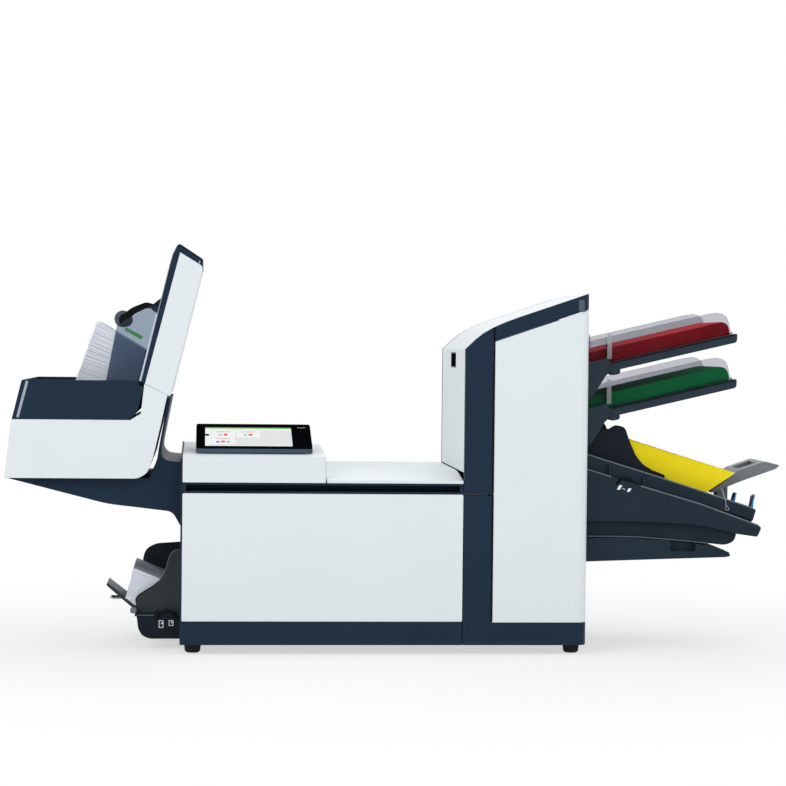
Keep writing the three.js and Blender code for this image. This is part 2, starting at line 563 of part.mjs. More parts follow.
// Display: a thin black slab with round corners, tilted towards the operator on a narrower wedge.
const display = {
  insetLeft: 23, insetRight: 22.5, frontY: 54, depth: 140, frontLift: 1, rise: 41, thickness: 8.2,
  cornerRadius: 9, edgeRadius: 2, wedgeInset: 12, heel: 6 };
const displayLeft = bodyLeft + display.insetLeft;
const displayRight = consoleRight - display.insetRight;
const displayBack = display.frontY + display.depth;
const slabFrontLow = consoleTopAt(display.frontY) + display.frontLift;
const slabLowAt = (y) => slabFrontLow + (y - display.frontY) * display.rise / display.depth;
const slab = combine(planPrism(
  rectangle(displayLeft, display.frontY, displayRight, displayBack, display.cornerRadius),
  deckBottom, slabLowAt(displayBack) + display.thickness + CUT_OVERRUN), {
  within: [sidePrism([
    [display.frontY, slabFrontLow, display.edgeRadius],
    [displayBack, slabLowAt(displayBack), display.edgeRadius],
    [displayBack, slabLowAt(displayBack) + display.thickness, display.edgeRadius],
    [display.frontY, slabFrontLow + display.thickness, display.edgeRadius]],
  displayLeft - CUT_OVERRUN, displayRight + CUT_OVERRUN)],
});
const wedgeFront = display.frontY + display.heel;
const wedgeBack = displayBack - display.wedgeInset;
place("display", combine(slab, {
  plus: [sidePrism([
    [wedgeFront, consoleTopAt(wedgeFront) + CLEARANCE], [wedgeBack, consoleTopAt(wedgeBack) + CLEARANCE],
    [wedgeBack, slabLowAt(wedgeBack) + display.thickness / 2],
    [wedgeFront, slabLowAt(wedgeFront) + display.thickness / 2]],
  displayLeft + display.wedgeInset, displayRight - display.wedgeInset)],
}), blackPlastic);

// Deck cover: the flat white top of the body with its slope to the front, cut out round the console.
const deck = { slopeDepth: 105, lip: 5, bend: 40 };
const deckSide = (inset) => [
  [inset, deckBottom - (inset > 0 ? CUT_OVERRUN : 0)],
  [inset, deckBottom + deck.lip - inset / 2], [deck.slopeDepth, deckTop - inset, deck.bend],
  [BODY_DEPTH - inset, deckTop - inset], [BODY_DEPTH - inset, deckBottom - (inset > 0 ? CUT_OVERRUN : 0)]];
const deckLeft = consoleRight + SEAM;
const deckRearFront = CONSOLE_DEPTH + SEAM;
place("deck_cover", combine(sidePrism(deckSide(0), bodyLeft, -SEAM), {
  minus: [
    box(bodyLeft - CUT_OVERRUN, -CUT_OVERRUN, deckBottom - CUT_OVERRUN,
      deckLeft, deckRearFront, deckTop + CUT_OVERRUN),
    sidePrism(deckSide(WALL), deckLeft + WALL, -SEAM - WALL),
    box(bodyLeft + WALL, deckRearFront + WALL, deckBottom - CUT_OVERRUN,
      deckLeft + WALL + CUT_OVERRUN, BODY_DEPTH - WALL, deckTop - WALL)],
}), whitePlastic);

// Tower panels: white skins with a round vertical corner; the rear one mirrors the front one.
const band = { height: 28.5 };
const panel = { returnDepth: 44 };
const bandBottomAt = (x) => towerTopAt(x) - band.height;
const panelTopAt = (x) => bandBottomAt(x) - SEAM;
const panelPlan = [
  [towerLeft, 0], [TOWER_LENGTH, 0, CORNER_RADIUS], [TOWER_LENGTH, panel.returnDepth],
  [TOWER_LENGTH - WALL, panel.returnDepth], [TOWER_LENGTH - WALL, WALL, CORNER_RADIUS - WALL],
  [towerLeft + WALL, WALL], [towerLeft + WALL, COVER_DEPTH], [towerLeft, COVER_DEPTH]];
const towerPanel = () => combine(planPrism(panelPlan, plinthTop + CLEARANCE, towerTopAt(TOWER_LENGTH)), {
  within: [frontPrism([[0, 0], [2 * TOWER_LENGTH, 0], [2 * TOWER_LENGTH, panelTopAt(2 * TOWER_LENGTH)],
    [0, panelTopAt(0)]], -CUT_OVERRUN, BODY_DEPTH)],
});
place("tower_front_panel", towerPanel(), whitePlastic);
const rearPanel = place("tower_rear_panel", towerPanel(), whitePlastic);
rearPanel.scale.y = -1;
rearPanel.position.y = BODY_DEPTH;

// Tower end cover: closes the lower part of the feeder side and carries the large feeder.
const endCover = { topDrop: 1.5, thickness: 5, ribDepth: 3, ribs: 4, ribWidth: 4 };
const endCoverTop = deckTop - endCover.topDrop;
const endCoverFront = panel.returnDepth + CLEARANCE;
const endCoverBack = BODY_DEPTH - endCoverFront;
const endCoverStep = (endCoverBack - endCoverFront - endCover.ribWidth) / (endCover.ribs + 1);
place("tower_end_cover", combine(
  sidePrism(rectangle(endCoverFront, plinthTop + CLEARANCE, endCoverBack, endCoverTop, WALL),
    TOWER_LENGTH - endCover.thickness, TOWER_LENGTH), {
    minus: Array.from({ length: endCover.ribs + 1 }, (_, i) => sidePrism(rectangle(
      endCoverFront + endCover.ribWidth + i * endCoverStep, doorBottom + endCover.ribWidth,
      endCoverFront + (i + 1) * endCoverStep, endCoverTop - endCover.ribWidth),
    TOWER_LENGTH - endCover.thickness - CUT_OVERRUN, TOWER_LENGTH - endCover.thickness + endCover.ribDepth)),
  }), charcoalPlastic);

// Hood: the white upper shell of the tower, with the same round corners as the panels, and the navy frame
// that closes its front and back. The recessed grip is moulded into the shell's left face.
const hood = { shoulderDrop: 38.2, crownX: 42, crownRadius: 60 };
const hoodBottom = deckTop + SEAM;
const hoodShoulder = towerTopAt(hood.crownX) - hood.shoulderDrop - SEAM;
const grip = { width: 90, height: 30, depth: 20, topDrop: 6 };
const gripTop = hoodShoulder - grip.topDrop;
const gripBottom = gripTop - grip.height;
const hoodOutline = [
  [0, hoodBottom], [WALL, hoodBottom], [WALL, hoodShoulder],
  [hood.crownX + WALL / 2, towerTopAt(hood.crownX) - WALL, hood.crownRadius - WALL],
  [TOWER_LENGTH, towerTopAt(TOWER_LENGTH) - WALL], [TOWER_LENGTH, towerTopAt(TOWER_LENGTH)],
  [hood.crownX, towerTopAt(hood.crownX), hood.crownRadius], [0, hoodShoulder]];
const gripY = { front: middleY - grip.width / 2, back: middleY + grip.width / 2 };
const hoodPlan = () =>
  planPrism(towerPlan, doorTop, 2 * towerTopAt(TOWER_LENGTH));
place("tower_hood", combine(frontPrism(hoodOutline, COVER_DEPTH + CLEARANCE, rearCoverFront - CLEARANCE), {
  plus: [box(WALL / 2, gripY.front - WALL, gripBottom - WALL,
    grip.depth + WALL, gripY.back + WALL, gripTop + WALL)],
  within: [hoodPlan()],
  minus: [sidePrism(rectangle(gripY.front, gripBottom, gripY.back, gripTop, SMALL_RADIUS),
    -CUT_OVERRUN, grip.depth)],
}), whitePlastic);

// The navy hood frame: a front and a rear cheek joined by two ties under the shell. A groove over the strip
// gap runs on up each cheek.
const tie = { width: 16, thickness: 4, drop: 3.6, leftGap: 4, rightInset: 33 };
const cheekOutline = [
  [0, doorTop + SEAM], [STRIP_WIDTH, doorTop + SEAM],
  [STRIP_WIDTH, bandBottomAt(STRIP_WIDTH)], [TOWER_LENGTH, bandBottomAt(TOWER_LENGTH)],
  [TOWER_LENGTH, towerTopAt(TOWER_LENGTH), SMALL_RADIUS],
  [hood.crownX, towerTopAt(hood.crownX), hood.crownRadius], [0, hoodShoulder]];
const cheek = (yFront, yBack) => frontPrism(cheekOutline, yFront, yBack);
const tieLevelAt = (x) => towerTopAt(x) - tie.drop;
const tieBar = (x) => frontPrism([
  [x, tieLevelAt(x) - tie.thickness], [x + tie.width, tieLevelAt(x + tie.width) - tie.thickness],
  [x + tie.width, tieLevelAt(x + tie.width)], [x, tieLevelAt(x)]],
COVER_DEPTH / 2, BODY_DEPTH - COVER_DEPTH / 2);
const groove = (yFront, yBack) =>
  box(STRIP_WIDTH, yFront, doorTop, towerLeft, yBack, 2 * towerTopAt(TOWER_LENGTH));
place("hood_frame", combine(cheek(0, COVER_DEPTH), {
  plus: [cheek(rearCoverFront, BODY_DEPTH),
    tieBar(hood.crownX + hood.crownRadius + tie.leftGap), tieBar(TOWER_LENGTH - tie.rightInset)],
  within: [hoodPlan()],
  minus: [groove(-CUT_OVERRUN, SEAM), groove(BODY_DEPTH - SEAM, BODY_DEPTH + CUT_OVERRUN),
    barX(hoodHinge.pin + CLEARANCE, hoodHinge.y, hoodAxisZ, -CUT_OVERRUN, STRIP_WIDTH + CUT_OVERRUN)],
}), navyPlastic);

// A knurled width wheel that stands in a pocket behind a front wall: its rim rises over the wall and shows
// through an arched window in it.
const thumbwheel = (wheel) => {
  const rim = [];
  for (let i = 0; i < wheel.teeth; i += 1) {
    for (const [turnShare, radius] of [[0, wheel.radius], [0.5, wheel.radius],
      [0.5, wheel.radius - wheel.toothDepth], [1, wheel.radius - wheel.toothDepth]]) {
      const turn = (i + turnShare) * 2 * Math.PI / wheel.teeth;
      rim.push([wheel.x + radius * Math.cos(turn), wheel.z + radius * Math.sin(turn)]);
    }
  }
  const front = wheel.wallBack + wheel.sideGap;
  const back = front + wheel.width;
  return combine(frontPrism(rim, front, back), {
    plus: [barY(wheel.hub, wheel.x, wheel.z,
      wheel.wallBack - wheel.hubSeat, back + wheel.sideGap + wheel.hubSeat)],
  });
};
const wheelHousing = (wheel) => {
  const pocketBack = wheel.wallBack + 2 * wheel.sideGap + wheel.width;
  const seat = wheel.hubSeat + wheel.hubGap;
  return [
    barY(wheel.radius + wheel.sideGap, wheel.x, wheel.z, wheel.wallBack, pocketBack, 2 * SIDES),
    barY(wheel.hub + wheel.hubGap, wheel.x, wheel.z, wheel.wallBack - seat, pocketBack + seat),
    combine(barY(wheel.radius + wheel.sideGap, wheel.x, wheel.z,
      wheel.wallFront - CUT_OVERRUN, wheel.wallBack + wheel.sideGap, 2 * SIDES), {
      minus: [barY(wheel.radius - wheel.windowDepth, wheel.x, wheel.z,
        wheel.wallFront - 2 * CUT_OVERRUN, pocketBack, 2 * SIDES)],
      within: [box(wheel.x - 2 * wheel.radius, wheel.wallFront - CUT_OVERRUN, wheel.z + wheel.windowRise,
        wheel.x + 2 * wheel.radius, pocketBack, wheel.z + 2 * wheel.radius)],
    })];
};

// Large document feeder: the curved navy body that hangs on the end cover.
const maxi = {
  length: 330.7, height: 167.5, fall: 97.1, deckX: 15.2, ledge: 15,
  noseHeight: 65, hollowInset: 12, frontWall: 4, wheelX: 77.2, wheelDrop: 32.5 };
const shoulderShare = 0.649;
const maxiFallShare = maxi.fall / maxi.length;
const maxiLeft = TOWER_LENGTH + CLEARANCE;
const maxiBase = { x: maxiLeft, z: maxiDeckZ - maxi.height, length: maxi.length, height: maxi.height };
const maxiGuide = { thickness: 4, foot: 16, footThickness: 4, travel: 15, play: 2.5, gap: 2.5,
  left: 4.7, length: 154, height: 82 };
const trough = { rail: 5, deckThickness: 6, drop: 1.6 };
const maxiGuideFront = stackFront - maxiGuide.gap - maxiGuide.thickness;
const railFront = maxiGuideFront - maxiGuide.foot - maxiGuide.travel - maxiGuide.play - trough.rail;
const maxiFront = railFront - maxi.ledge;
const maxiBack = BODY_DEPTH - maxiFront;
const deckLowAt = (x) => maxiDeckZ - trough.drop - (x - maxiLeft - maxi.deckX) * maxiFallShare;
const deckHighAt = (x) => deckLowAt(x) + trough.deckThickness;
const shoulderX = maxiLeft + maxi.length * shoulderShare;
const nose = { x: maxiLeft + maxi.length, z: maxiBase.z + maxi.noseHeight };
const shellLevelAt = (x) => deckLowAt(x) - CLEARANCE;
const noseSlope = (nose.z - shellLevelAt(shoulderX)) / (nose.x - shoulderX);
const maxiUnderShares = [
  [0.976, 0.278, 0.67], [0.859, 0.31], [0.592, 0.418], [0.311, 0.442], [0, 0.436]];
const bellyShares = [
  [0, 0.281], [0.32, 0.263], [0.604, 0.221], [0.803, 0.179, 1.33], [0.855, 0.221, 1.33],
  [0.867, 0.316], [0.825, 0.376], [0.592, 0.448], [0.311, 0.472], [0, 0.466]];
const maxiHollowShares = [
  [-0.006, 0.316], [0.32, 0.299], [0.604, 0.257], [0.794, 0.227], [0.794, 0.34], [0.592, 0.507],
  [0.338, 0.734], [-0.006, 0.913]];
const maxiWheel = {
  x: maxiLeft + maxi.wheelX, z: maxiDeckZ - maxi.wheelDrop,
  radius: 21, width: 6, sideGap: 1, hub: 4, hubGap: 0.5, hubSeat: 2,
  wallFront: maxiFront, wallBack: maxiFront + maxi.frontWall, windowRise: 6, windowDepth: 4,
  teeth: 20, toothDepth: 1.2 };
place("maxi_body", combine(frontPrism([
  [maxiLeft, shellLevelAt(maxiLeft)], [shoulderX, shellLevelAt(shoulderX)], [nose.x, nose.z, SMALL_RADIUS],
  ...onShares(maxiBase, maxiUnderShares)].reverse(), maxiFront, maxiBack), {
  plus: [frontPrism(onShares(maxiBase, bellyShares), railFront, BODY_DEPTH - railFront)],
  minus: [
    frontPrism(onShares(maxiBase, maxiHollowShares),
      railFront + maxi.hollowInset, BODY_DEPTH - railFront - maxi.hollowInset),
    ...wheelHousing(maxiWheel)],
}), navyPlastic);
place("maxi_width_wheel", thumbwheel(maxiWheel), blackPlastic);

// Its feeding deck: a trough with a rail along each side.
const railHeelShare = 0.885;
const deckEndShare = 0.946;
const railShares = [
  [0.959, 0.451], [0.976, 0.567, 0.5], [0.97, 0.579, 0.33], [0.428, 0.916], [0, 1.186]];
const railHeel = maxiLeft + maxi.length * railHeelShare;
const deckEnd = maxiLeft + maxi.length * deckEndShare;
const railOutline = [[maxiLeft, deckLowAt(maxiLeft)], [railHeel, deckLowAt(railHeel)],
  ...onShares(maxiBase, railShares)];
const deckZone = [[maxiLeft, deckLowAt(maxiLeft)], [deckEnd, deckLowAt(deckEnd)],
  [deckEnd, deckHighAt(deckEnd)], [maxiLeft, deckHighAt(maxiLeft)]];
place("maxi_deck", combine(frontPrism(railOutline, railFront, railFront + trough.rail), {
  plus: [
    frontPrism(railOutline, BODY_DEPTH - railFront - trough.rail, BODY_DEPTH - railFront),
    frontPrism(deckZone, railFront + trough.rail / 2, BODY_DEPTH - railFront - trough.rail / 2)],
}), navyPlastic);

// Side guides of the large feeder: high near the tower, falling to the rail; each stands on a foot.
const maxiGuideShares = [
  [1, -0.128, 0.5], [0.844, -0.018], [0.721, 0.116, 1.67], [0.636, 0.335], [0.571, 0.604, 1.67],
  [0.506, 0.957, 1.33], [0.387, 1, 0.83], [0.315, 0.915], [0.156, 0.872, 0.67], [0.052, 0.799, 1.33],
  [0, 0.482]];
const onDeckAt = (x) => deckHighAt(x) + CLEARANCE;
const guideBase = {
  x: maxiLeft + maxiGuide.left, z: maxiDeckZ, length: maxiGuide.length, height: maxiGuide.height };
const guideEnd = guideBase.x + maxiGuide.length;
const maxiGuideOutline = [
  [guideBase.x, onDeckAt(guideBase.x)], [guideEnd, onDeckAt(guideEnd)],
  ...onShares(guideBase, maxiGuideShares)];
const maxiFootOutline = [
  [guideBase.x, onDeckAt(guideBase.x)], [guideEnd, onDeckAt(guideEnd)],
  [guideEnd, onDeckAt(guideEnd) + maxiGuide.footThickness],
  [guideBase.x, onDeckAt(guideBase.x) + maxiGuide.footThickness]];
const maxiGuideSolid = () => combine(
  frontPrism(maxiGuideOutline, maxiGuideFront, maxiGuideFront + maxiGuide.thickness), {
    plus: [frontPrism(maxiFootOutline, maxiGuideFront - maxiGuide.foot,
      maxiGuideFront + maxiGuide.thickness / 2)],
  });
place("maxi_guide_front", maxiGuideSolid(), navyPlastic);
const maxiGuideRear = place("maxi_guide_rear", maxiGuideSolid(), navyPlastic);
maxiGuideRear.scale.y = -1;
maxiGuideRear.position.y = BODY_DEPTH;

// The fanned stack of sheets on it: feeding end at the tower, trailing end raised on the support.
const fan = {
  lead: 12.7, leadTop: 24.7, leadHeight: 78, heelOnDeck: 246.7, heel: 256.7, heelLift: 27,
  tailRun: 47, tailRise: 31.5 };
const fanHeel = { x: maxiLeft + fan.heel, z: deckHighAt(maxiLeft + fan.heel) + fan.heelLift };
place("maxi_paper_stack", frontPrism([
  [maxiLeft + fan.lead, onDeckAt(maxiLeft + fan.lead)],
  [maxiLeft + fan.heelOnDeck, onDeckAt(maxiLeft + fan.heelOnDeck)],
  [fanHeel.x, fanHeel.z, SMALL_RADIUS], [fanHeel.x + fan.tailRun, fanHeel.z + fan.tailRise],
  [maxiLeft + fan.leadTop, maxiDeckZ + fan.leadHeight]],
stackFront, stackRear), yellowPaper);

// Paper support: a bent grey plate with a slot and two windows, on a post that slides along the deck.
const support = {
  width: 120, postWidth: 28, footMargin: 8, footHeight: 5, length: 132, height: 60, drop: 7,
  postLeft: 22, postRight: 43, footLeft: 14, footRight: 44, slotWidth: 60, windowEdge: 4, windowWidth: 16 };
const supportShares = [
  [0.023, 0], [0.455, 0.383], [0.947, 0.767, 0.5], [1, 0.883, 0.33], [0.788, 1, 0.67],
  [0.424, 0.725], [0, 0.058, 0.33]];
const supportSlotShares = [
  [0.455, 0.233], [0.712, 0.233], [0.712, 1.233], [0.455, 1.233]];
const supportWindowShares = [
  [0.515, 0.317], [0.909, 0.667], [0.909, 0.75], [0.803, 0.85], [0.515, 0.683]];
const postTopShares = [[0.326, 0.383], [0.167, 0.183]];
const supportBase = {
  x: fanHeel.x, z: fanHeel.z - support.drop, length: support.length, height: support.height };
const acrossMiddle = (width) => [middleY - width / 2, middleY + width / 2];
const supportWindow = (front) =>
  frontPrism(onShares(supportBase, supportWindowShares), front, front + support.windowWidth);
const [slotFront, slotBack] = acrossMiddle(support.slotWidth);
const footX0 = supportBase.x + support.footLeft;
const footX1 = supportBase.x + support.footRight;
const postX0 = supportBase.x + support.postLeft;
const postX1 = supportBase.x + support.postRight;
place("maxi_paper_support", combine(
  frontPrism(onShares(supportBase, supportShares), ...acrossMiddle(support.width)), {
    plus: [
      frontPrism([[postX0, onDeckAt(postX0)], [postX1, onDeckAt(postX1)],
        ...onShares(supportBase, postTopShares)], ...acrossMiddle(support.postWidth)),
      frontPrism([[footX0, onDeckAt(footX0)], [footX1, onDeckAt(footX1)],
        [footX1, onDeckAt(footX1) + support.footHeight], [footX0, onDeckAt(footX0) + support.footHeight]],
      ...acrossMiddle(support.postWidth + 2 * support.footMargin))],
    minus: [
      frontPrism(onShares(supportBase, supportSlotShares), slotFront, slotBack),
      supportWindow(slotFront - support.windowEdge - support.windowWidth),
      supportWindow(slotBack + support.windowEdge)],
  }), greyPlastic);

// Two catch levers: a short one near the outer end of the deck and a tall one on the body's nose.
const catchLever = {
  inset: 7, depth: 18, hub: 4.5, width: 6, lean: 5, tip: 2, noseInset: 7, deckHeight: 27, noseHeight: 46 };
const deckLeverShare = 0.876;
const leverFront = stackFront + catchLever.inset;
const leverBack = leverFront + catchLever.depth;
const deckLeverX = maxiLeft + maxi.length * deckLeverShare;
const noseLeverX = nose.x - catchLever.noseInset;
const catchLevers = [
  { x: deckLeverX, height: catchLever.deckHeight, floor: deckHighAt(deckLeverX), slope: maxiFallShare },
  { x: noseLeverX, height: catchLever.noseHeight,
    floor: nose.z - noseSlope * catchLever.noseInset, slope: noseSlope }];
catchLevers.forEach(({ x, height, floor, slope }, i) => {
  const z = floor + (catchLever.hub + CLEARANCE) * Math.hypot(1, slope);
  const half = catchLever.width / 2;
  place(`maxi_lever_${i + 1}`, combine(barY(catchLever.hub, x, z, leverFront, leverBack), {
    plus: [frontPrism([[x - half, z], [x + half, z],
      [x + half + catchLever.lean, z + height - half, catchLever.tip],
      [x + catchLever.lean, z + height, catchLever.tip]], leverFront, leverBack)],
  }), blackPlastic);
});

// Lower tray under the large feeder, with a finger recess at its front.
const lowerTray = { wall: 4, recessDepth: 22 };
const lowerTrayShares = [
  [0, 0], [0.799, 0.054, 0.5], [0.825, 0.066, 0.5], [0.816, 0.107], [0.776, 0.143], [0.679, 0.185],
  [0.471, 0.233], [0.2, 0.265], [0, 0.254]];
const lowerTrayHollowShares = [
  [0.012, -0.03], [0.764, -0.03], [0.764, 0.101], [0.679, 0.149], [0.471, 0.197], [0.012, 0.221]];
const recessShares = [
  [0.483, 0.113, 0.67], [0.628, 0.113, 0.67], [0.628, 0.328], [0.483, 0.328]];
place("maxi_lower_tray", combine(frontPrism(onShares(maxiBase, lowerTrayShares), maxiFront, maxiBack), {
  minus: [
    frontPrism(onShares(maxiBase, lowerTrayHollowShares),
      maxiFront + lowerTray.recessDepth + lowerTray.wall, maxiBack - lowerTray.wall),
    frontPrism(onShares(maxiBase, recessShares), maxiFront - CUT_OVERRUN, maxiFront + lowerTray.recessDepth)],
}), navyPlastic);

// Envelope hopper: the dark base on the end wall, its two side guides and the width wheel.
const ENVELOPE_WIDTH = 229;
const envelopeFront = middleY - ENVELOPE_WIDTH / 2;
const envelopeBack = middleY + ENVELOPE_WIDTH / 2;
const hopper = {
  length: 79.4, height: 47.5, lift: 2, wall: 4, frontInset: 20.5, hollowInset: 21, pileInset: 10,
  stopRadius: 6, stopReach: 3, stopRise: 7.5, wheelInset: 23.9, wheelDrop: 18 };
const hopperFront = envelopeFront - hopper.frontInset;
const hopperBack = BODY_DEPTH - hopperFront;
const hopperRight = endWallLeft - CLEARANCE;
const hopperBase = {
  x: hopperRight - hopper.length, z: FOOT_HEIGHT + hopper.lift,
  length: hopper.length, height: hopper.height };
const hopperTop = hopperBase.z + hopper.height;
const hopperShares = [
  [0.302, 0, 1], [1, 0], [1, 1], [0, 1, 0.5], [0.025, 0.695], [0.05, 0.379, 0.67],
  [0.139, 0.126, 0.67]];
const hopperHollowShares = [
  [0.353, -0.189], [0.95, -0.189], [0.95, 0.621], [0.126, 0.621], [0.126, 0.316], [0.202, 0.189]];
const hopperStopShares = [
  [-0.038, 0.863], [0.076, 0.863], [0.076, 0.989], [0, 1.2]];
const hopperWheel = {
  x: hopperRight - hopper.wheelInset, z: hopperTop - hopper.wheelDrop,
  radius: 23, width: 6, sideGap: 1, hub: 4, hubGap: 0.5, hubSeat: 2,
  wallFront: hopperFront, wallBack: hopperFront + hopper.wall, windowRise: 8, windowDepth: 5.5,
  teeth: 24, toothDepth: 1.2 };
place("hopper_base", combine(frontPrism(onShares(hopperBase, hopperShares), hopperFront, hopperBack), {
  plus: [barY(hopper.stopRadius, hopperBase.x - hopper.stopReach, hopperTop + hopper.stopRise,
    hopperFront - hopper.wall, hopperFront + hopper.wall, SIDES),
  frontPrism(onShares(hopperBase, hopperStopShares), hopperFront, hopperFront + hopper.wall)],
  minus: [
    frontPrism(onShares(hopperBase, hopperHollowShares),
      hopperFront + hopper.hollowInset, hopperBack - hopper.wall),
    ...wheelHousing(hopperWheel)],
}), blackPlastic);
place("hopper_width_wheel", thumbwheel(hopperWheel), blackPlastic);

const hopperGuide = {
  gap: 8.5, thickness: 4, foot: 12, footThickness: 3, footLeft: 6, footLength: 30, height: 114.2 };
const guideFloor = {
  x: hopperBase.x, z: hopperTop + CLEARANCE, length: hopper.length, height: hopperGuide.height };
const pileFront = envelopeFront + hopper.pileInset;
const hopperGuideFront = pileFront - hopperGuide.gap - hopperGuide.thickness;
const hopperGuideBack = hopperGuideFront + hopperGuide.thickness;
const footLeft = hopperBase.x + hopperGuide.footLeft;
const hopperGuideShares = [
  [0.025, 0], [0.996, 0], [0.996, 1], [0.856, 0.991, 0.67], [0.768, 0.93, 0.67],
  [0.655, 0.667, 1.67], [0.554, 0.527, 1.67], [0.416, 0.431, 1.33], [0.164, 0.326, 1.67],
  [0.013, 0.256, 0.83], [-0.025, 0.151, 0.83]];
const farGuideShares = [
  [0.05, 0], [0.996, 0], [0.996, 0.952], [0.378, 0.921, 1.33], [0.145, 0.834, 1.67],
  [0.076, 0.702, 1], [0.05, 0.51]];
place("hopper_guide_front", combine(
  frontPrism(onShares(guideFloor, hopperGuideShares), hopperGuideFront, hopperGuideBack), {
    plus: [box(footLeft, hopperGuideFront - hopperGuide.foot, guideFloor.z, footLeft + hopperGuide.footLength,
      hopperGuideFront + hopperGuide.thickness / 2, guideFloor.z + hopperGuide.footThickness)],
  }), charcoalPlastic);
place("hopper_guide_rear", combine(
  frontPrism(onShares(guideFloor, farGuideShares),
    BODY_DEPTH - hopperGuideBack, BODY_DEPTH - hopperGuideFront), {
    plus: [box(footLeft, BODY_DEPTH - hopperGuideFront - hopperGuide.thickness / 2, guideFloor.z,
      footLeft + hopperGuide.footLength, BODY_DEPTH - hopperGuideFront + hopperGuide.foot,
      guideFloor.z + hopperGuide.footThickness)],
  }), navyPlastic);

// Sliding envelope support with its thin steel-grey release bar.
const slider = { width: 100, barWidth: 6, thickness: 4.7, right: 11.4, tail: 10, tailLow: 8 };
const sliderShares = [
  [-0.277, 0.168], [-0.705, 0.4, 0.33], [-0.73, 0.361, 0.33], [-0.34, 0.124]];
const sliderBarShares = [
  [-0.63, 0.124], [-0.277, 0.116], [-0.264, 0.142], [-0.63, 0.151]];
const sliderTop = guideFloor.z + slider.thickness;
place("hopper_slider", combine(frontPrism([
  [hopperBase.x - slider.tail, guideFloor.z], [hopperRight - slider.right, guideFloor.z],
  [hopperRight - slider.right, sliderTop], [hopperBase.x - slider.tailLow, sliderTop],
  ...onShares(guideFloor, sliderShares)], ...acrossMiddle(slider.width)), {
  plus: [frontPrism(onShares(guideFloor, sliderBarShares), ...acrossMiddle(slider.barWidth))],
}), greyPlastic);

// Envelopes leaning back on the slider.
const hopperPileShares = [
  [0.996, 0.405], [0.567, 0.527], [-0.05, 0.711], [-0.088, 0.615], [-0.202, 0.282], [-0.239, 0.203],
  [-0.076, 0.116]];
place("hopper_envelopes", frontPrism([
  [hopperBase.x, sliderTop + CLEARANCE], [hopperRight - CLEARANCE, sliderTop + CLEARANCE],
  ...onShares(guideFloor, hopperPileShares)], pileFront, BODY_DEPTH - pileFront),
whitePaper);

// Stacker chassis: the dark wedge that hangs on the end wall, with the bent strip that runs up to the tower.
const stacker = { length: 314.4, chassisInset: 40, inset: 20, wall: 5, chassisDepth: 86, chassisHeight: 231 };
const stackerLeft = hopperRight - stacker.length;
const chassisBase = {
  x: stackerLeft, z: binBottom - stacker.chassisDepth,
  length: stacker.length, height: stacker.chassisHeight };
const chassisShares = [
  [0.003, 0.37], [0.582, 0.169, 3.33], [0.754, 0.143], [0.953, 0.111, 1.67], [1, 0], [1, 0.498],
  [0.91, 0.511, 1.67], [0.884, 0.563, 1.33], [0.887, 0.615], [0.941, 1], [0.924, 1],
  [0.872, 0.606, 0.67], [0.865, 0.528, 1.33], [0.837, 0.424], [0.817, 0.37]];
const chassisHollowShares = [
  [0.08, 0.398], [0.582, 0.199, 3.33], [0.754, 0.169], [0.948, 0.139], [0.984, 0.074],
  [0.984, 0.442], [0.906, 0.459], [0.843, 0.424], [0.824, 0.333], [0.779, 0.333], [0.779, 0.398]];
place("stacker_chassis", combine(
  frontPrism(onShares(chassisBase, chassisShares), stacker.chassisInset, BODY_DEPTH - stacker.chassisInset), {
    minus: [frontPrism(onShares(chassisBase, chassisHollowShares),
      stacker.chassisInset + stacker.wall, BODY_DEPTH - stacker.chassisInset - stacker.wall)],
  }), navyPlastic);

// Stacker bin: the white shell whose top is the stacking deck, and the navy fence that stands on it.
const bin = { height: 170.2, wall: 4, shoulderDrop: 19.8, shoulderRun: 41, crestInset: 66.4 };
const binFront = stacker.inset;
const binBack = BODY_DEPTH - stacker.inset;
const binBase = { x: stackerLeft, z: binBottom, length: stacker.length, height: bin.height };
const crest = { x: hopperRight - bin.crestInset, z: binBottom + bin.height };
const binShares = [
  [0, 0], [0.757, 0, 1.33], [0.808, 0.059, 1], [0.84, 0.212], [0.881, 0.546]];
const binDeckShares = [
  [0.77, 0.687], [0.709, 0.617], [0.038, 0.617]];
const binHollowShares = [
  [0.013, -0.012], [0.754, -0.012], [0.805, 0.094], [0.856, 0.505], [0.741, 0.576], [0.716, 0.588],
  [0.051, 0.588]];
place("stacker_bin", combine(frontPrism([
  ...onShares(binBase, binShares),
  [crest.x + bin.shoulderRun, crest.z - bin.shoulderDrop], [crest.x, crest.z],
  ...onShares(binBase, binDeckShares)], binFront, binBack), {
  minus: [frontPrism(onShares(binBase, binHollowShares), binFront + bin.wall, binBack - bin.wall)],
}), whitePlastic);

const stackingLevel = onShares(binBase, binDeckShares)[1][1] + CLEARANCE;
const fenceFootShares = [0.04, 0.697];
const fenceHollowFootShares = [0.057, 0.687];
const fenceShares = [
  [0.746, 0.687, 1], [0.773, 0.875], [0.781, 0.94, 0.67], [0.741, 1.034, 1], [0.095, 1.034, 0.5]];
const fenceHollowShares = [
  [0.735, 0.687], [0.76, 0.875], [0.767, 0.952], [0.767, 1.058], [0.111, 1.058]];
const fenceFoot = (shares, z) => shares.map((along) => [stackerLeft + stacker.length * along, z]);
place("stacker_fence", combine(frontPrism([
  ...fenceFoot(fenceFootShares, stackingLevel), ...onShares(binBase, fenceShares)], binFront, binBack), {
  minus: [frontPrism([...fenceFoot(fenceHollowFootShares, stackingLevel - CUT_OVERRUN),
    ...onShares(binBase, fenceHollowShares)], binFront + bin.wall, binBack - bin.wall)],
}), navyPlastic);

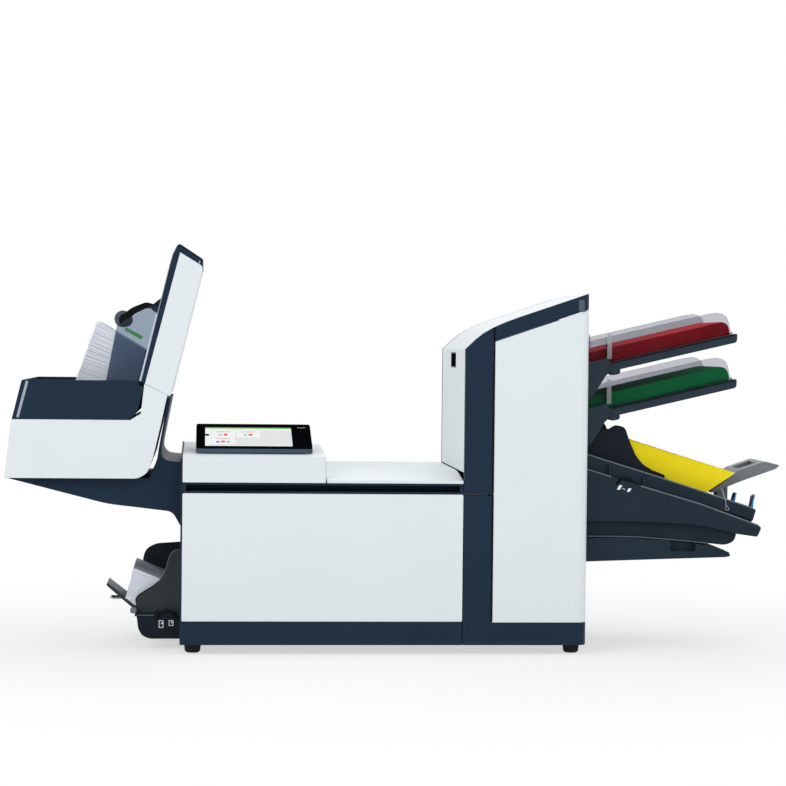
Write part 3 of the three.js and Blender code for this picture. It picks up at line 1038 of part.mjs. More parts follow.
// Stacker tower: a leaning white housing that seats on the bin's crest.
const riser = { wall: 4, footStart: 1, footRun: 45.4, lean: 57, rightRise: 233.9, topRun: 41.4, topRise: 25 };
const crestLineAt = (x) => crest.z + CLEARANCE - (x - crest.x) * bin.shoulderDrop / bin.shoulderRun;
const footL = { x: crest.x + riser.footStart, z: crestLineAt(crest.x + riser.footStart) + CLEARANCE };
const footR = { x: footL.x + riser.footRun, z: crestLineAt(footL.x + riser.footRun) };
const topR = { x: footR.x + riser.lean, z: footR.z + riser.rightRise };
const topL = { x: topR.x - riser.topRun, z: topR.z + riser.topRise };
place("stacker_tower", combine(frontPrism([
  [footL.x, footL.z], [footR.x, footR.z, SMALL_RADIUS / 2], [topR.x, topR.z, SMALL_RADIUS], [topL.x, topL.z]],
binFront, binBack), {
  minus: [frontPrism([[footL.x - riser.wall, footL.z - 4 * riser.wall],
    [footR.x - 1.5 * riser.wall, footR.z + 3 * riser.wall], [topR.x - 1.7 * riser.wall, topR.z],
    [topL.x - 4 * riser.wall, topL.z + 2 * riser.wall], [footL.x - 3.5 * riser.wall, footL.z]],
  binFront + riser.wall, binBack - riser.wall)],
}), whitePlastic);

// The navy transport plate along the tower's left edge and over its top, with the lugs of the hold-down arm.
const plate = {
  skin: 0.9, footRun: 7, footRise: 3, kneeRun: 13, kneeDrop: 1.5, tipRun: 3, tipRise: 16.5, capRise: 13,
  kneeRadius: 20, guardGap: 0.6 };
const arm = {
  pivotRun: 45.5, pivotDrop: 99, width: 10, frontInset: 20.5, hub: 7, pin: 3, play: 0.4, lug: 6, lugGap: 0.6,
  rollerWidth: 15, reach: 65.5, length: 69, drop: 27, height: 38, rollerX: 59.5, rollerDrop: 20.5,
  rollerRadius: 15.5, rollerPlay: 0.4, rest: 26 };
const pivot = { x: topL.x - arm.pivotRun, z: topL.z - arm.pivotDrop };
const armFront = envelopeFront + arm.frontInset;
const armBack = armFront + arm.width;
const lugShares = [[-0.1, -0.1, 0.67], [0.225, -0.42], [0.283, 0.68], [-0.06, 0.18, 0.67]];
const lugOutline = onShares({ ...pivot, length: arm.length, height: arm.height }, lugShares);
const plateFoot = { x: footL.x - plate.footRun, z: footL.z + plate.footRise };
const plateKnee = { x: topL.x - plate.kneeRun, z: topL.z - plate.kneeDrop };
place("stacker_transport_plate", combine(frontPrism([
  [topL.x - plate.tipRun, topL.z + plate.tipRise, SMALL_RADIUS],
  [topR.x, topR.z + plate.capRise, SMALL_RADIUS / 2],
  [topR.x, topR.z + plate.skin], [topL.x - plate.skin / 3, topL.z + plate.skin],
  [footL.x - plate.skin / 2, footL.z], [plateFoot.x, plateFoot.z],
  [plateKnee.x, plateKnee.z, plate.kneeRadius]],
binFront, binBack), {
  plus: [
    frontPrism(lugOutline, armFront - arm.lugGap - arm.lug, armFront - arm.lugGap),
    frontPrism(lugOutline, armBack + arm.lugGap, armBack + arm.lugGap + arm.lug),
    barY(arm.pin, pivot.x, pivot.z, armFront - arm.lugGap - arm.lug / 2, armBack + arm.lugGap + arm.lug / 2)],
}), navyPlastic);

// Hold-down arm with its loose roller, which rides on the envelopes.
const armShares = [
  [1, 0.605, 0.5], [1, 0.842, 0.5], [0.71, 1, 1], [0.319, 0.711, 1], [0, 0.237, 0.83],
  [0.058, 0, 0.83], [0.203, 0.132, 0.67], [0.42, 0.421, 1], [0.725, 0.711, 1]];
const armBase = { x: pivot.x - arm.reach, z: pivot.z - arm.drop, length: arm.length, height: arm.height };
const pad = { x: pivot.x - arm.rollerX, z: pivot.z - arm.rollerDrop };
const padFront = armBack + arm.lugGap;
const padBack = padFront + arm.rollerWidth;
place("stacker_arm", combine(frontPrism(onShares(armBase, armShares), armFront, armBack), {
  plus: [
    barY(arm.hub, pivot.x, pivot.z, armFront, armBack),
    barY(arm.pin, pad.x, pad.z, armFront + arm.lugGap, padBack + 2 * arm.lugGap)],
  minus: [barY(arm.pin + arm.play, pivot.x, pivot.z, armFront - CUT_OVERRUN, armBack + CUT_OVERRUN)],
}), blackPlastic);
place("stacker_arm_roller", combine(
  barY(arm.rollerRadius, pad.x, pad.z, padFront, padBack, SIDES + SIDES / 2), {
    minus: [barY(arm.pin + arm.rollerPlay, pad.x, pad.z, padFront - CUT_OVERRUN, padBack + CUT_OVERRUN)],
  }), rubber);

// Envelopes standing in the stacker, up to the hold-down roller.
const stackerPileShares = [
  [0.334, 0], [0.665, 0], [0.722, 0.247], [0.754, 0.409], [0.792, 0.717], [0.633, 0.892],
  [0.63, 0.912], [0.518, 1]];
const pileBase = {
  x: stackerLeft, z: stackingLevel, length: stacker.length, height: pivot.z - arm.rest - stackingLevel };
place("stacker_envelopes",
  frontPrism(onShares(pileBase, stackerPileShares), envelopeFront, envelopeBack), whitePaper);

// Clear guard that stands on the deck in front of the pile and follows the transport plate up its right side.
const guard = { thickness: 2.4, gap: 0.5, topRise: 2, middleRise: 47.5 };
const guardShares = [
  [0.622, 0.966, 0.33], [0.563, 0.406], [0.509, 0], [0.671, 0], [0.716, 0.145], [0.751, 0.332]];
const plateLeftAt = (z) =>
  plateFoot.x + (z - plateFoot.z) * (plateKnee.x - plateFoot.x) / (plateKnee.z - plateFoot.z);
const guardEdge = (z) => [plateLeftAt(z) - plate.guardGap, z];
const guardBack = envelopeFront - guard.gap;
place("stacker_guard", frontPrism([
  ...onShares(pileBase, guardShares), guardEdge(plateFoot.z + guard.middleRise),
  guardEdge(pivot.z + guard.topRise),
  [plateLeftAt(pivot.z) - 3 * SMALL_RADIUS, pivot.z + 2 * guard.topRise, SMALL_RADIUS]],
guardBack - guard.thickness, guardBack), clearPlastic);

// The whole machine stands centred on its own footprint.
const bounds = new THREE.Box3().setFromObject(model);
model.position.set(-(bounds.min.x + bounds.max.x) / 2, -(bounds.min.y + bounds.max.y) / 2, -bounds.min.z);

export default model;
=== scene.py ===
import math
import random

import bpy
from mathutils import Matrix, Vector


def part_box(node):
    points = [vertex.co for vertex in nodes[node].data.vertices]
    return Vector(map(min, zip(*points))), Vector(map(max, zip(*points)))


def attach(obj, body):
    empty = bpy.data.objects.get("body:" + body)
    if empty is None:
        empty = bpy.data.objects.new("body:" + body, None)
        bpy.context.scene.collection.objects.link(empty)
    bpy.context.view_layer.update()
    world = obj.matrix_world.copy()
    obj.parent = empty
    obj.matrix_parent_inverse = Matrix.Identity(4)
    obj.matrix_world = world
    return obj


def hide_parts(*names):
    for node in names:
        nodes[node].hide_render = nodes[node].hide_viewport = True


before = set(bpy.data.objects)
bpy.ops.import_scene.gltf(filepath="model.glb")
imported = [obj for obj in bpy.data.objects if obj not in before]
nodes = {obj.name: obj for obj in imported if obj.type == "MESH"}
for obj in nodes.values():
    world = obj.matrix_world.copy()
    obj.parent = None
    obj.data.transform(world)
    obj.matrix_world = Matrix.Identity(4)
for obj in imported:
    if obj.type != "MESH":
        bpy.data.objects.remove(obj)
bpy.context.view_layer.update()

# The stage: a pale floor that keeps the machine's shadow and runs out into plain white, a white surround,
# three large soft lamps, and a camera a little to the left of the machine's middle, not far above the deck.
scene = bpy.context.scene
scene.view_settings.view_transform = "Standard"
bpy.ops.object.select_all(action="DESELECT")

camera_place = Vector((-0.3631, -4.4115, 0.559))
aim_point = Vector((-0.0261, -0.2115, 0.4722))
camera_roll = 0.6
bpy.ops.object.camera_add(location=camera_place)
camera = bpy.context.object
camera.data.lens = 107.2
camera.data.clip_end = 60
camera.rotation_euler = (aim_point - camera_place).to_track_quat("-Z", "Y").to_euler()
camera.rotation_euler.rotate_axis("Z", math.radians(camera_roll))
scene.camera = camera


def add(tree, kind, **values):
    made = tree.nodes.new("ShaderNode" + kind)
    for label, value in values.items():
        if label in made.inputs:
            made.inputs[label].default_value = value
        else:
            setattr(made, label, value)
    return made


def wire(tree, start, output, end, label):
    tree.links.new(start.outputs[output], end.inputs[label])


def seen_directly(tree):
    rays = add(tree, "LightPath")
    either = add(tree, "Math", operation="MAXIMUM")
    any_ray = add(tree, "Math", operation="MAXIMUM")
    wire(tree, rays, "Is Camera Ray", either, 0)
    wire(tree, rays, "Is Transmission Ray", either, 1)
    wire(tree, either, 0, any_ray, 0)
    wire(tree, rays, "Is Glossy Ray", any_ray, 1)
    return any_ray


bpy.ops.mesh.primitive_plane_add(size=60, location=(0, 0, 0))
floor = bpy.context.object
floor.name = "floor"
floor_finish = bpy.data.materials.new("pale floor")
floor_finish.use_nodes = True
tree = floor_finish.node_tree
floor_shader = tree.nodes["Principled BSDF"]
floor_shader.inputs["Base Color"].default_value = (0.955, 0.96, 0.965, 1)
floor_shader.inputs["Roughness"].default_value = 0.95
floor_shader.inputs["Specular IOR Level"].default_value = 0.1
floor_spot = add(tree, "TexCoord")
floor_reach = add(tree, "VectorMath", operation="LENGTH")
floor_fade = add(tree, "MapRange", interpolation_type="SMOOTHSTEP",
                 **{"From Min": 0.7, "From Max": 1.5, "To Min": 0.6})
floor_white = add(tree, "Emission")
floor_mix = add(tree, "MixShader")
floor_share = add(tree, "Math", operation="MULTIPLY")
wire(tree, floor_spot, "Object", floor_reach, 0)
wire(tree, floor_reach, "Value", floor_fade, "Value")
wire(tree, floor_fade, "Result", floor_share, 0)
wire(tree, seen_directly(tree), 0, floor_share, 1)
wire(tree, floor_share, 0, floor_mix, 0)
wire(tree, floor_shader, 0, floor_mix, 1)
wire(tree, floor_white, 0, floor_mix, 2)
wire(tree, floor_mix, 0, tree.nodes["Material Output"], "Surface")
floor.data.materials.append(floor_finish)

world = bpy.data.worlds.new("white surround")
world.use_nodes = True
scene.world = world
tree = world.node_tree
tree.nodes.clear()
soft_light = add(tree, "Background", Color=(0.965, 0.985, 1.0, 1), Strength=0.68)
white_light = add(tree, "Background", Color=(1, 1, 1, 1), Strength=1.0)
world_mix = add(tree, "MixShader")
world_out = add(tree, "OutputWorld")
wire(tree, seen_directly(tree), 0, world_mix, 0)
wire(tree, soft_light, 0, world_mix, 1)
wire(tree, white_light, 0, world_mix, 2)
wire(tree, world_mix, 0, world_out, "Surface")

lamps = (((-3.1, -2.9, 2.7), 2.6, 58), ((2.8, -2.4, 2.2), 2.2, 29), ((0.4, 2.6, 3.0), 2.4, 30))
lit_point = Vector((0, 0, 0.35))
for place, size, power in lamps:
    bpy.ops.object.light_add(type="AREA", location=place)
    lamp = bpy.context.object
    lamp.data.size = size
    lamp.data.energy = power
    lamp.rotation_euler = (lit_point - Vector(place)).to_track_quat("-Z", "Y").to_euler()


# Navy mouldings: the plinths of body and tower, the frame of the hood, and the stacker's chassis, fence and
# plate. They are injection moulded with a fine spark-eroded skin and screwed to the steel frames. The shade
# clouds a little over a large wall, corners are rubbed paler, and level faces hold a trace of dust.
def make_group(name, inputs, outputs):
    made = bpy.data.node_groups.new(name, "ShaderNodeTree")
    for label, kind, value in inputs:
        socket = made.interface.new_socket(label, in_out="INPUT", socket_type="NodeSocket" + kind)
        socket.default_value = value
    for label, kind in outputs:
        made.interface.new_socket(label, in_out="OUTPUT", socket_type="NodeSocket" + kind)
    return made, made.nodes.new("NodeGroupInput"), made.nodes.new("NodeGroupOutput")


skin_group, given, result = make_group(
    "moulded skin",
    (("Light Shade", "Color", (0.9, 0.9, 0.9, 1)), ("Dark Shade", "Color", (0.8, 0.8, 0.8, 1)),
     ("Rubbed Shade", "Color", (0.9, 0.9, 0.9, 1)), ("Grain Size", "Float", 1400.0),
     ("Rough Low", "Float", 0.4), ("Rough High", "Float", 0.5), ("Dust", "Float", 0.1),
     ("Corner Radius", "Float", 0.0008)),
    (("Color", "Color"), ("Roughness", "Float"), ("Height", "Float"), ("Normal", "Vector")))
spot = add(skin_group, "TexCoord")
clouds = add(skin_group, "TexNoise", Scale=7, Detail=3)
grain = add(skin_group, "TexNoise", Detail=2)
shade = add(skin_group, "Mix", data_type="RGBA")
rough = add(skin_group, "MapRange")
corner = add(skin_group, "Bevel", samples=4)
faces = add(skin_group, "NewGeometry")
bend = add(skin_group, "VectorMath", operation="DOT_PRODUCT")
rubbed = add(skin_group, "MapRange", **{"From Min": 0.995, "From Max": 0.80, "To Max": 0.75})
rubbed_mix = add(skin_group, "Mix", data_type="RGBA")
split = add(skin_group, "SeparateXYZ")
level = add(skin_group, "MapRange", **{"From Min": 0.75, "From Max": 1.0})
specks = add(skin_group, "TexNoise", Scale=90, Detail=6)
settled = add(skin_group, "Math", operation="MULTIPLY")
amount = add(skin_group, "Math", operation="MULTIPLY")
dusty = add(skin_group, "Mix", data_type="RGBA", B=(0.62, 0.61, 0.58, 1))
for texture in (clouds, grain, specks):
    wire(skin_group, spot, "Object", texture, "Vector")
wire(skin_group, given, "Grain Size", grain, "Scale")
wire(skin_group, clouds, "Fac", shade, "Factor")
wire(skin_group, given, "Light Shade", shade, "A")
wire(skin_group, given, "Dark Shade", shade, "B")
wire(skin_group, grain, "Fac", rough, "Value")
wire(skin_group, given, "Rough Low", rough, "To Min")
wire(skin_group, given, "Rough High", rough, "To Max")
wire(skin_group, given, "Corner Radius", corner, "Radius")
wire(skin_group, corner, "Normal", bend, 0)
wire(skin_group, faces, "Normal", bend, 1)
wire(skin_group, bend, "Value", rubbed, "Value")
wire(skin_group, rubbed, "Result", rubbed_mix, "Factor")
wire(skin_group, shade, "Result", rubbed_mix, "A")
wire(skin_group, given, "Rubbed Shade", rubbed_mix, "B")
wire(skin_group, faces, "Normal", split, 0)
wire(skin_group, split, "Z", level, "Value")
wire(skin_group, level, "Result", settled, 0)
wire(skin_group, specks, "Fac", settled, 1)
wire(skin_group, settled, 0, amount, 0)
wire(skin_group, given, "Dust", amount, 1)
wire(skin_group, amount, 0, dusty, "Factor")
wire(skin_group, rubbed_mix, "Result", dusty, "A")
wire(skin_group, dusty, "Result", result, "Color")
wire(skin_group, rough, "Result", result, "Roughness")
wire(skin_group, grain, "Fac", result, "Height")
wire(skin_group, corner, "Normal", result, "Normal")


def moulded(name, light, dark, rubbed_shade, rough=(0.4, 0.52), grain_size=1400.0, relief=0.12,
            radius=0.0007, dust=0.04, gloss=0.5):
    made = bpy.data.materials.new(name)
    made.use_nodes = True
    tree = made.node_tree
    shader = tree.nodes["Principled BSDF"]
    skin = add(tree, "Group", node_tree=skin_group)
    for label, value in (("Light Shade", (*light, 1)), ("Dark Shade", (*dark, 1)),
                         ("Rubbed Shade", (*rubbed_shade, 1)), ("Grain Size", grain_size),
                         ("Rough Low", rough[0]), ("Rough High", rough[1]), ("Dust", dust),
                         ("Corner Radius", radius)):
        skin.inputs[label].default_value = value
    bump = add(tree, "Bump", Strength=relief, Distance=0.0002)
    shader.inputs["Specular IOR Level"].default_value = gloss
    wire(tree, skin, "Color", shader, "Base Color")
    wire(tree, skin, "Roughness", shader, "Roughness")
    wire(tree, skin, "Height", bump, "Height")
    wire(tree, skin, "Normal", bump, "Normal")
    wire(tree, bump, "Normal", shader, "Normal")
    return made


def dress(material, *names):
    for name in names:
        slots = nodes[name].data.materials
        slots.clear()
        slots.append(material)


navy = moulded("navy moulded plastic", (0.012, 0.027, 0.052), (0.009, 0.021, 0.042), (0.06, 0.09, 0.135),
               rough=(0.42, 0.56), dust=0.015, gloss=0.12)
dress(navy, "body_pan", "tower_base", "hood_frame", "stacker_fence", "stacker_transport_plate",
      "stacker_chassis")

# Feet: four cones of black rubber, moulded with a matt skin that scuffs grey towards the sole, and pressed
# into the floor of the plinths.
foot_rubber = moulded("foot rubber", (0.012, 0.013, 0.014), (0.02, 0.02, 0.021), (0.06, 0.06, 0.06),
                      rough=(0.7, 0.9), grain_size=900.0, relief=0.3, gloss=0.25)
dress(foot_rubber, "foot_front_left", "foot_front_right", "foot_rear_left", "foot_rear_right")

# Side frames: two zinc-plated steel plates that stand in the pan and carry every shaft. The plating shows a
# soft spangle.
steel = bpy.data.materials.new("zinc plated steel")
steel.use_nodes = True
tree = steel.node_tree
shader = tree.nodes["Principled BSDF"]
spot = add(tree, "TexCoord")
spangle = add(tree, "TexVoronoi", Scale=160)
sheen = add(tree, "MapRange", **{"To Min": 0.28, "To Max": 0.45})
colour = add(tree, "Mix", data_type="RGBA", A=(0.50, 0.52, 0.54, 1), B=(0.66, 0.67, 0.68, 1))
shader.inputs["Metallic"].default_value = 1.0
wire(tree, spot, "Object", spangle, "Vector")
wire(tree, spangle, "Distance", sheen, "Value")
wire(tree, spangle, "Distance", colour, "Factor")
wire(tree, colour, "Result", shader, "Base Color")
wire(tree, sheen, "Result", shader, "Roughness")
dress(steel, "front_side_frame", "rear_side_frame")

# Fold and feed rollers: black rubber, vulcanised on steel shafts and then ground round. They run in the bores
# of the side frames.
roller_rubber = moulded("ground roller rubber", (0.016, 0.016, 0.018), (0.026, 0.026, 0.028),
                        (0.04, 0.04, 0.04), rough=(0.55, 0.7), grain_size=2200.0, relief=0.2, gloss=0.3)
dress(roller_rubber, "fold_roller_lower", "fold_roller_upper", "red_feed_roller", "green_feed_roller")

# Transport knob: the hand wheel behind the front door, moulded in green plastic and pushed on its stub shaft.
# The guard's strip is in the same green.
green_gloss = moulded("green moulded plastic", (0.03, 0.28, 0.07), (0.024, 0.22, 0.055), (0.10, 0.42, 0.15),
                      rough=(0.25, 0.35))
dress(green_gloss, "transport_knob")

# White skins: door, deck, console, tower panels, hood and stacker housings. Moulded in a cool off-white, they
# clip over the plinths and frames with an even dark seam.
white = moulded("white moulded plastic", (0.765, 0.81, 0.83), (0.73, 0.78, 0.80), (0.81, 0.845, 0.86),
                rough=(0.38, 0.5), relief=0.08, radius=0.0012, dust=0.03, gloss=0.4)
dress(white, "front_door", "deck_cover", "console_housing", "body_rear_cover", "tower_front_panel",
      "tower_rear_panel", "tower_hood", "stacker_bin", "stacker_tower")

# Display: a sheet of black glass let into a slate-grey case that stands tilted on the console. The glass is
# the face that looks along the tilt; the rim under it is painted.
glass_tilt = math.atan2(41, 140)
display_finish = bpy.data.materials.new("black glass in a slate rim")
display_finish.use_nodes = True
tree = display_finish.node_tree
shader = tree.nodes["Principled BSDF"]
faces = add(tree, "NewGeometry")
facing = add(tree, "VectorMath", operation="DOT_PRODUCT")
facing.inputs[1].default_value = (0, -math.sin(glass_tilt), math.cos(glass_tilt))
on_glass = add(tree, "MapRange", **{"From Min": 0.90, "From Max": 0.93})
spot = add(tree, "TexCoord")
wiped = add(tree, "TexNoise", Scale=35, Detail=4)
film = add(tree, "MapRange", **{"To Min": 0.16, "To Max": 0.26})
rim_rough = add(tree, "Mix", A=0.42)
rim_shade = add(tree, "Mix", data_type="RGBA", A=(0.075, 0.115, 0.15, 1), B=(0.055, 0.088, 0.12, 1))
colour = add(tree, "Mix", data_type="RGBA", B=(0.003, 0.003, 0.004, 1))
shader.inputs["Specular IOR Level"].default_value = 0.0
wire(tree, faces, "True Normal", facing, 0)
wire(tree, facing, "Value", on_glass, "Value")
wire(tree, spot, "Object", wiped, "Vector")
wire(tree, wiped, "Fac", film, "Value")
wire(tree, wiped, "Fac", rim_shade, "Factor")
wire(tree, on_glass, "Result", rim_rough, "Factor")
wire(tree, film, "Result", rim_rough, "B")
wire(tree, on_glass, "Result", colour, "Factor")
wire(tree, rim_shade, "Result", colour, "A")
wire(tree, colour, "Result", shader, "Base Color")
wire(tree, rim_rough, "Result", shader, "Roughness")
dress(display_finish, "display")


# Screen: the lit panel under the glass, with a green head bar, a side bar with its pull tab and three job
# tiles of a plain made-up layout, and the touch key beside it. Each patch is a thin plate with round corners.
# Sizes are millimetres. A place counts from the seam of body and tower, the front face and the floor.
seam_from_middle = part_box("tower_base")[0].x * 1000
front_from_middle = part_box("tower_base")[0].y * 1000


def at(x, y, z):
    return Vector((x + seam_from_middle, y + front_from_middle, z)) / 1000


def face_y(node, back=False):
    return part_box(node)[1 if back else 0].y * 1000 - front_from_middle


def bar(centre, size, turn=(0, 0, 0)):
    bpy.ops.object.select_all(action="DESELECT")
    bpy.ops.mesh.primitive_cube_add(size=1, location=centre, rotation=[math.radians(a) for a in turn],
                                    scale=Vector(size) / 1000)
    bpy.ops.object.transform_apply(location=True, rotation=True, scale=True)
    return bpy.context.object


def pick(piece, kind, wanted):
    bpy.ops.object.select_all(action="DESELECT")
    piece.select_set(True)
    bpy.context.view_layer.objects.active = piece
    bpy.ops.object.mode_set(mode="EDIT")
    bpy.ops.mesh.select_mode(type=kind)
    bpy.ops.mesh.select_all(action="DESELECT")
    bpy.ops.object.mode_set(mode="OBJECT")
    mesh = piece.data
    if kind == "FACE":
        for face in mesh.polygons:
            face.select = wanted(face.center, face.normal)
    elif kind == "EDGE":
        for edge in mesh.edges:
            start, end = (mesh.vertices[i].co for i in edge.vertices)
            edge.select = wanted((start + end) / 2, (end - start).normalized())
    else:
        for corner_point in mesh.vertices:
            corner_point.select = wanted(corner_point.co)
    bpy.ops.object.mode_set(mode="EDIT")


def round_edges(piece, radius, steps, wanted):
    pick(piece, "EDGE", wanted)
    bpy.ops.mesh.bevel(offset=radius / 1000, segments=steps, affect="EDGES")
    bpy.ops.object.mode_set(mode="OBJECT")
    return piece


def join(pieces):
    bpy.ops.object.select_all(action="DESELECT")
    for piece in pieces:
        piece.select_set(True)
    bpy.context.view_layer.objects.active = pieces[0]
    if len(pieces) > 1:
        bpy.ops.object.join()
    return bpy.context.object


def settle(piece, name, material, body, slot, *stands_for):
    bpy.ops.object.select_all(action="DESELECT")
    piece.select_set(True)
    bpy.context.view_layer.objects.active = piece
    bpy.ops.object.shade_smooth_by_angle(angle=math.radians(35))
    piece.name = name
    if material:
        piece.data.materials.clear()
        piece.data.materials.append(material)
    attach(piece, body)
    if stands_for:
        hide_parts(*stands_for)
    return piece


pixel_group, given, result = make_group(
    "screen pixels", (("Lit Shade", "Color", (0.9, 0.9, 0.9, 1)),), (("Color", "Color"),))
spot = add(pixel_group, "TexCoord")
cells = add(pixel_group, "TexNoise", Scale=60, Detail=5)
dim = add(pixel_group, "MapRange", **{"To Min": 0.94, "To Max": 1.0})
lit = add(pixel_group, "VectorMath", operation="SCALE")
wire(pixel_group, spot, "Object", cells, "Vector")
wire(pixel_group, cells, "Fac", dim, "Value")
wire(pixel_group, given, "Lit Shade", lit, 0)
wire(pixel_group, dim, "Result", lit, "Scale")
wire(pixel_group, lit, 0, result, "Color")


def lit_patch(name, shade):
    made = bpy.data.materials.new(name)
    made.use_nodes = True
    tree = made.node_tree
    shader = tree.nodes["Principled BSDF"]
    pixels = add(tree, "Group", node_tree=pixel_group)
    pixels.inputs["Lit Shade"].default_value = (*shade, 1)
    shader.inputs["Base Color"].default_value = (0.02, 0.02, 0.02, 1)
    shader.inputs["Roughness"].default_value = 0.12
    shader.inputs["Specular IOR Level"].default_value = 0.0
    shader.inputs["Emission Strength"].default_value = 0.95
    wire(tree, pixels, "Color", shader, "Emission Color")
    return made


screen_light = {
    "panel": lit_patch("screen grey", (0.80, 0.83, 0.83)),
    "tile": lit_patch("screen white", (0.95, 0.955, 0.955)),
    "head": lit_patch("screen green", (0.13, 0.53, 0.045)),
    "leaf": lit_patch("screen leaf green", (0.20, 0.55, 0.33)),
    "orange": lit_patch("screen orange", (0.78, 0.13, 0.05)),
    "blue": lit_patch("screen blue", (0.03, 0.25, 0.60)),
    "pale": lit_patch("screen pale blue", (0.35, 0.55, 0.78)),
    "title": lit_patch("screen title red", (0.72, 0.42, 0.40)),
    "tab": lit_patch("screen dark", (0.01, 0.012, 0.014)),
}


glass_low = 367.1
glass_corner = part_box("display")[0]
glass_corner.z = glass_low / 1000
glass_up = Vector((0, math.cos(glass_tilt), math.sin(glass_tilt)))
glass_out = Vector((0, -math.sin(glass_tilt), math.cos(glass_tilt)))
patch_thick = 0.12
on_glass_lift, on_panel_lift, on_tile_lift = 0.05, 0.10, 0.16


def glass_patch(shade, left, low, right, high, lift, radius=0.8):
    across = Vector(((left + right) / 2, 0, 0))
    along = glass_up * (low + high) / 2
    patch = bar(glass_corner + (across + along + glass_out * lift) / 1000,
                (right - left, high - low, patch_thick), (math.degrees(glass_tilt), 0, 0))
    round_edges(patch, radius, 2, lambda middle, run: abs(run.dot(glass_out)) > 0.9)
    patch.data.materials.append(screen_light[shade])
    return patch


panel_left, panel_low, panel_right, panel_high = 16.6, 16.7, 176, 123
list_left, list_right = 28, 174
patches = [
    glass_patch("panel", panel_left, panel_low, panel_right, panel_high, on_glass_lift),
    glass_patch("head", panel_left, 116.5, panel_right, panel_high, on_panel_lift),
    glass_patch("tile", panel_left, panel_low, 27, 116, on_panel_lift),
    glass_patch("tab", panel_left, 73, 24, 84, on_tile_lift, 2),
    glass_patch("tile", list_left, 106, list_right, 115.5, on_panel_lift),
    glass_patch("tile", list_left, panel_low, list_right, 20, on_panel_lift)]
tile_wide, tile_high = 44, 38
blob_step, blob_wide, blob_low, blob_high, middle_blob_rise = 9.5, 6.8, 10, 18, 3
job_tiles = ((list_left, 65, ("pale", "orange")), (74, 65, ("pale", "orange")),
             (list_left, 25, ("blue", "orange", "leaf")))
for left, low, blobs in job_tiles:
    patches.append(glass_patch("tile", left, low, left + tile_wide, low + tile_high, on_panel_lift))
    patches.append(glass_patch("title", left + 9, low + 30, left + 35, low + 33.5, on_tile_lift, 0.6))
    for i, blob in enumerate(blobs):
        start = left + tile_wide / 2 - blob_step * (len(blobs) / 2 - i) + 0.8
        top = low + blob_high + middle_blob_rise * (i == 1)
        patches.append(glass_patch(blob, start, low + blob_low, start + blob_wide, top, on_tile_lift, 1.4))
settle(join(patches), "display_screen", None, "machine", "black_plastic")

key_left, key_low, key_step, key_wide, key_high = 188, 124, 5.2, 4, 1.4
middle_key_drop, on_rim_lift = 2.2, 0.08
key_bars = []
for i in range(3):
    left = key_left + key_step * i
    low = key_low - middle_key_drop * (i == 1)
    key_bars.append(glass_patch("panel", left, low, left + key_wide, low + key_high, on_rim_lift, 0.4))
settle(join(key_bars), "display_touch_key", None, "machine", "white_plastic")

# Trays, brackets and end cover of the sheet feeders: slate-grey mouldings. Each tray hooks on its two
# brackets, which are screwed to the side frames.
slate = moulded("slate moulded plastic", (0.022, 0.036, 0.052), (0.016, 0.028, 0.042), (0.08, 0.11, 0.135),
                rough=(0.42, 0.56), dust=0.015, gloss=0.14)
dress(slate, "red_tray", "green_tray", "feeder_bracket_front", "feeder_bracket_rear", "tower_end_cover")


# Side guides: clear acrylic sheet, bent and flame-polished, faintly rubbed by the paper. Each small flange
# over a foot has a black strip beside it painted as its shadow, black lines painted as the shadow under the
# sheets run along the trays, and clear stops finish the trays below.
def acrylic_sheet(name, light, dark):
    made = bpy.data.materials.new(name)
    made.use_nodes = True
    tree = made.node_tree
    shader = tree.nodes["Principled BSDF"]
    shader.inputs["Transmission Weight"].default_value = 1.0
    shader.inputs["IOR"].default_value = 1.15
    spot = add(tree, "TexCoord")
    stretch = add(tree, "Mapping", Scale=(40, 400, 900))
    rubs = add(tree, "TexNoise", Scale=1)
    haze = add(tree, "MapRange", **{"To Min": 0.02, "To Max": 0.09})
    tint = add(tree, "Mix", data_type="RGBA", A=(*light, 1), B=(*dark, 1))
    wire(tree, spot, "Object", stretch, "Vector")
    wire(tree, stretch, "Vector", rubs, "Vector")
    wire(tree, rubs, "Fac", haze, "Value")
    wire(tree, rubs, "Fac", tint, "Factor")
    wire(tree, tint, "Result", shader, "Base Color")
    wire(tree, haze, "Result", shader, "Roughness")
    return made


acrylic = acrylic_sheet("clear acrylic", (0.56, 0.56, 0.60), (0.50, 0.51, 0.55))
dress(acrylic, "red_guide_front", "red_guide_rear", "green_guide_front", "green_guide_rear")
black = moulded("black moulded plastic", (0.003, 0.0035, 0.005), (0.005, 0.006, 0.008), (0.025, 0.027, 0.03),
                rough=(0.24, 0.36), dust=0.0, gloss=0.08)
flange_acrylic = acrylic_sheet("polished acrylic edge", (0.80, 0.80, 0.82), (0.72, 0.72, 0.75))
flange_acrylic.node_tree.nodes["Principled BSDF"].inputs["Transmission Weight"].default_value = 0.7
tray_slope = 13.4
tray_rises = {"red": 0.0, "green": -83.8}
tray_faces = face_y("red_tray"), face_y("red_tray", back=True)
stop_middle, stop_size, stop_inset = at(495, 0, 571), (9, 12, 6), 18.4
stop_fronts = tray_faces[0] + stop_inset, tray_faces[1] - stop_inset
# Black lines along both edges of each tray are painted shadow under the sheets.
shadow_line_middle, shadow_line_size = at(391.5, 0, 557.1), (235, 0.8, 3.2)
shadow_line_fronts = tray_faces[0] - shadow_line_size[1] / 2, tray_faces[1] + shadow_line_size[1] / 2
flange_middle, flange_size, flange_proud = at(277.4, 0, 560.2), (8.6, 1.4, 46), 0.9
# The black strip beside each flange is the flange's painted shadow.
flange_shadow_middle, flange_shadow_size, flange_shadow_shift = at(271.6, 0, 552.5), (2.6, 0.7, 24), 0.3
guide_faces = (("front", face_y("red_guide_front") - flange_proud, 1),
               ("rear", face_y("red_guide_rear", back=True) + flange_proud, -1))
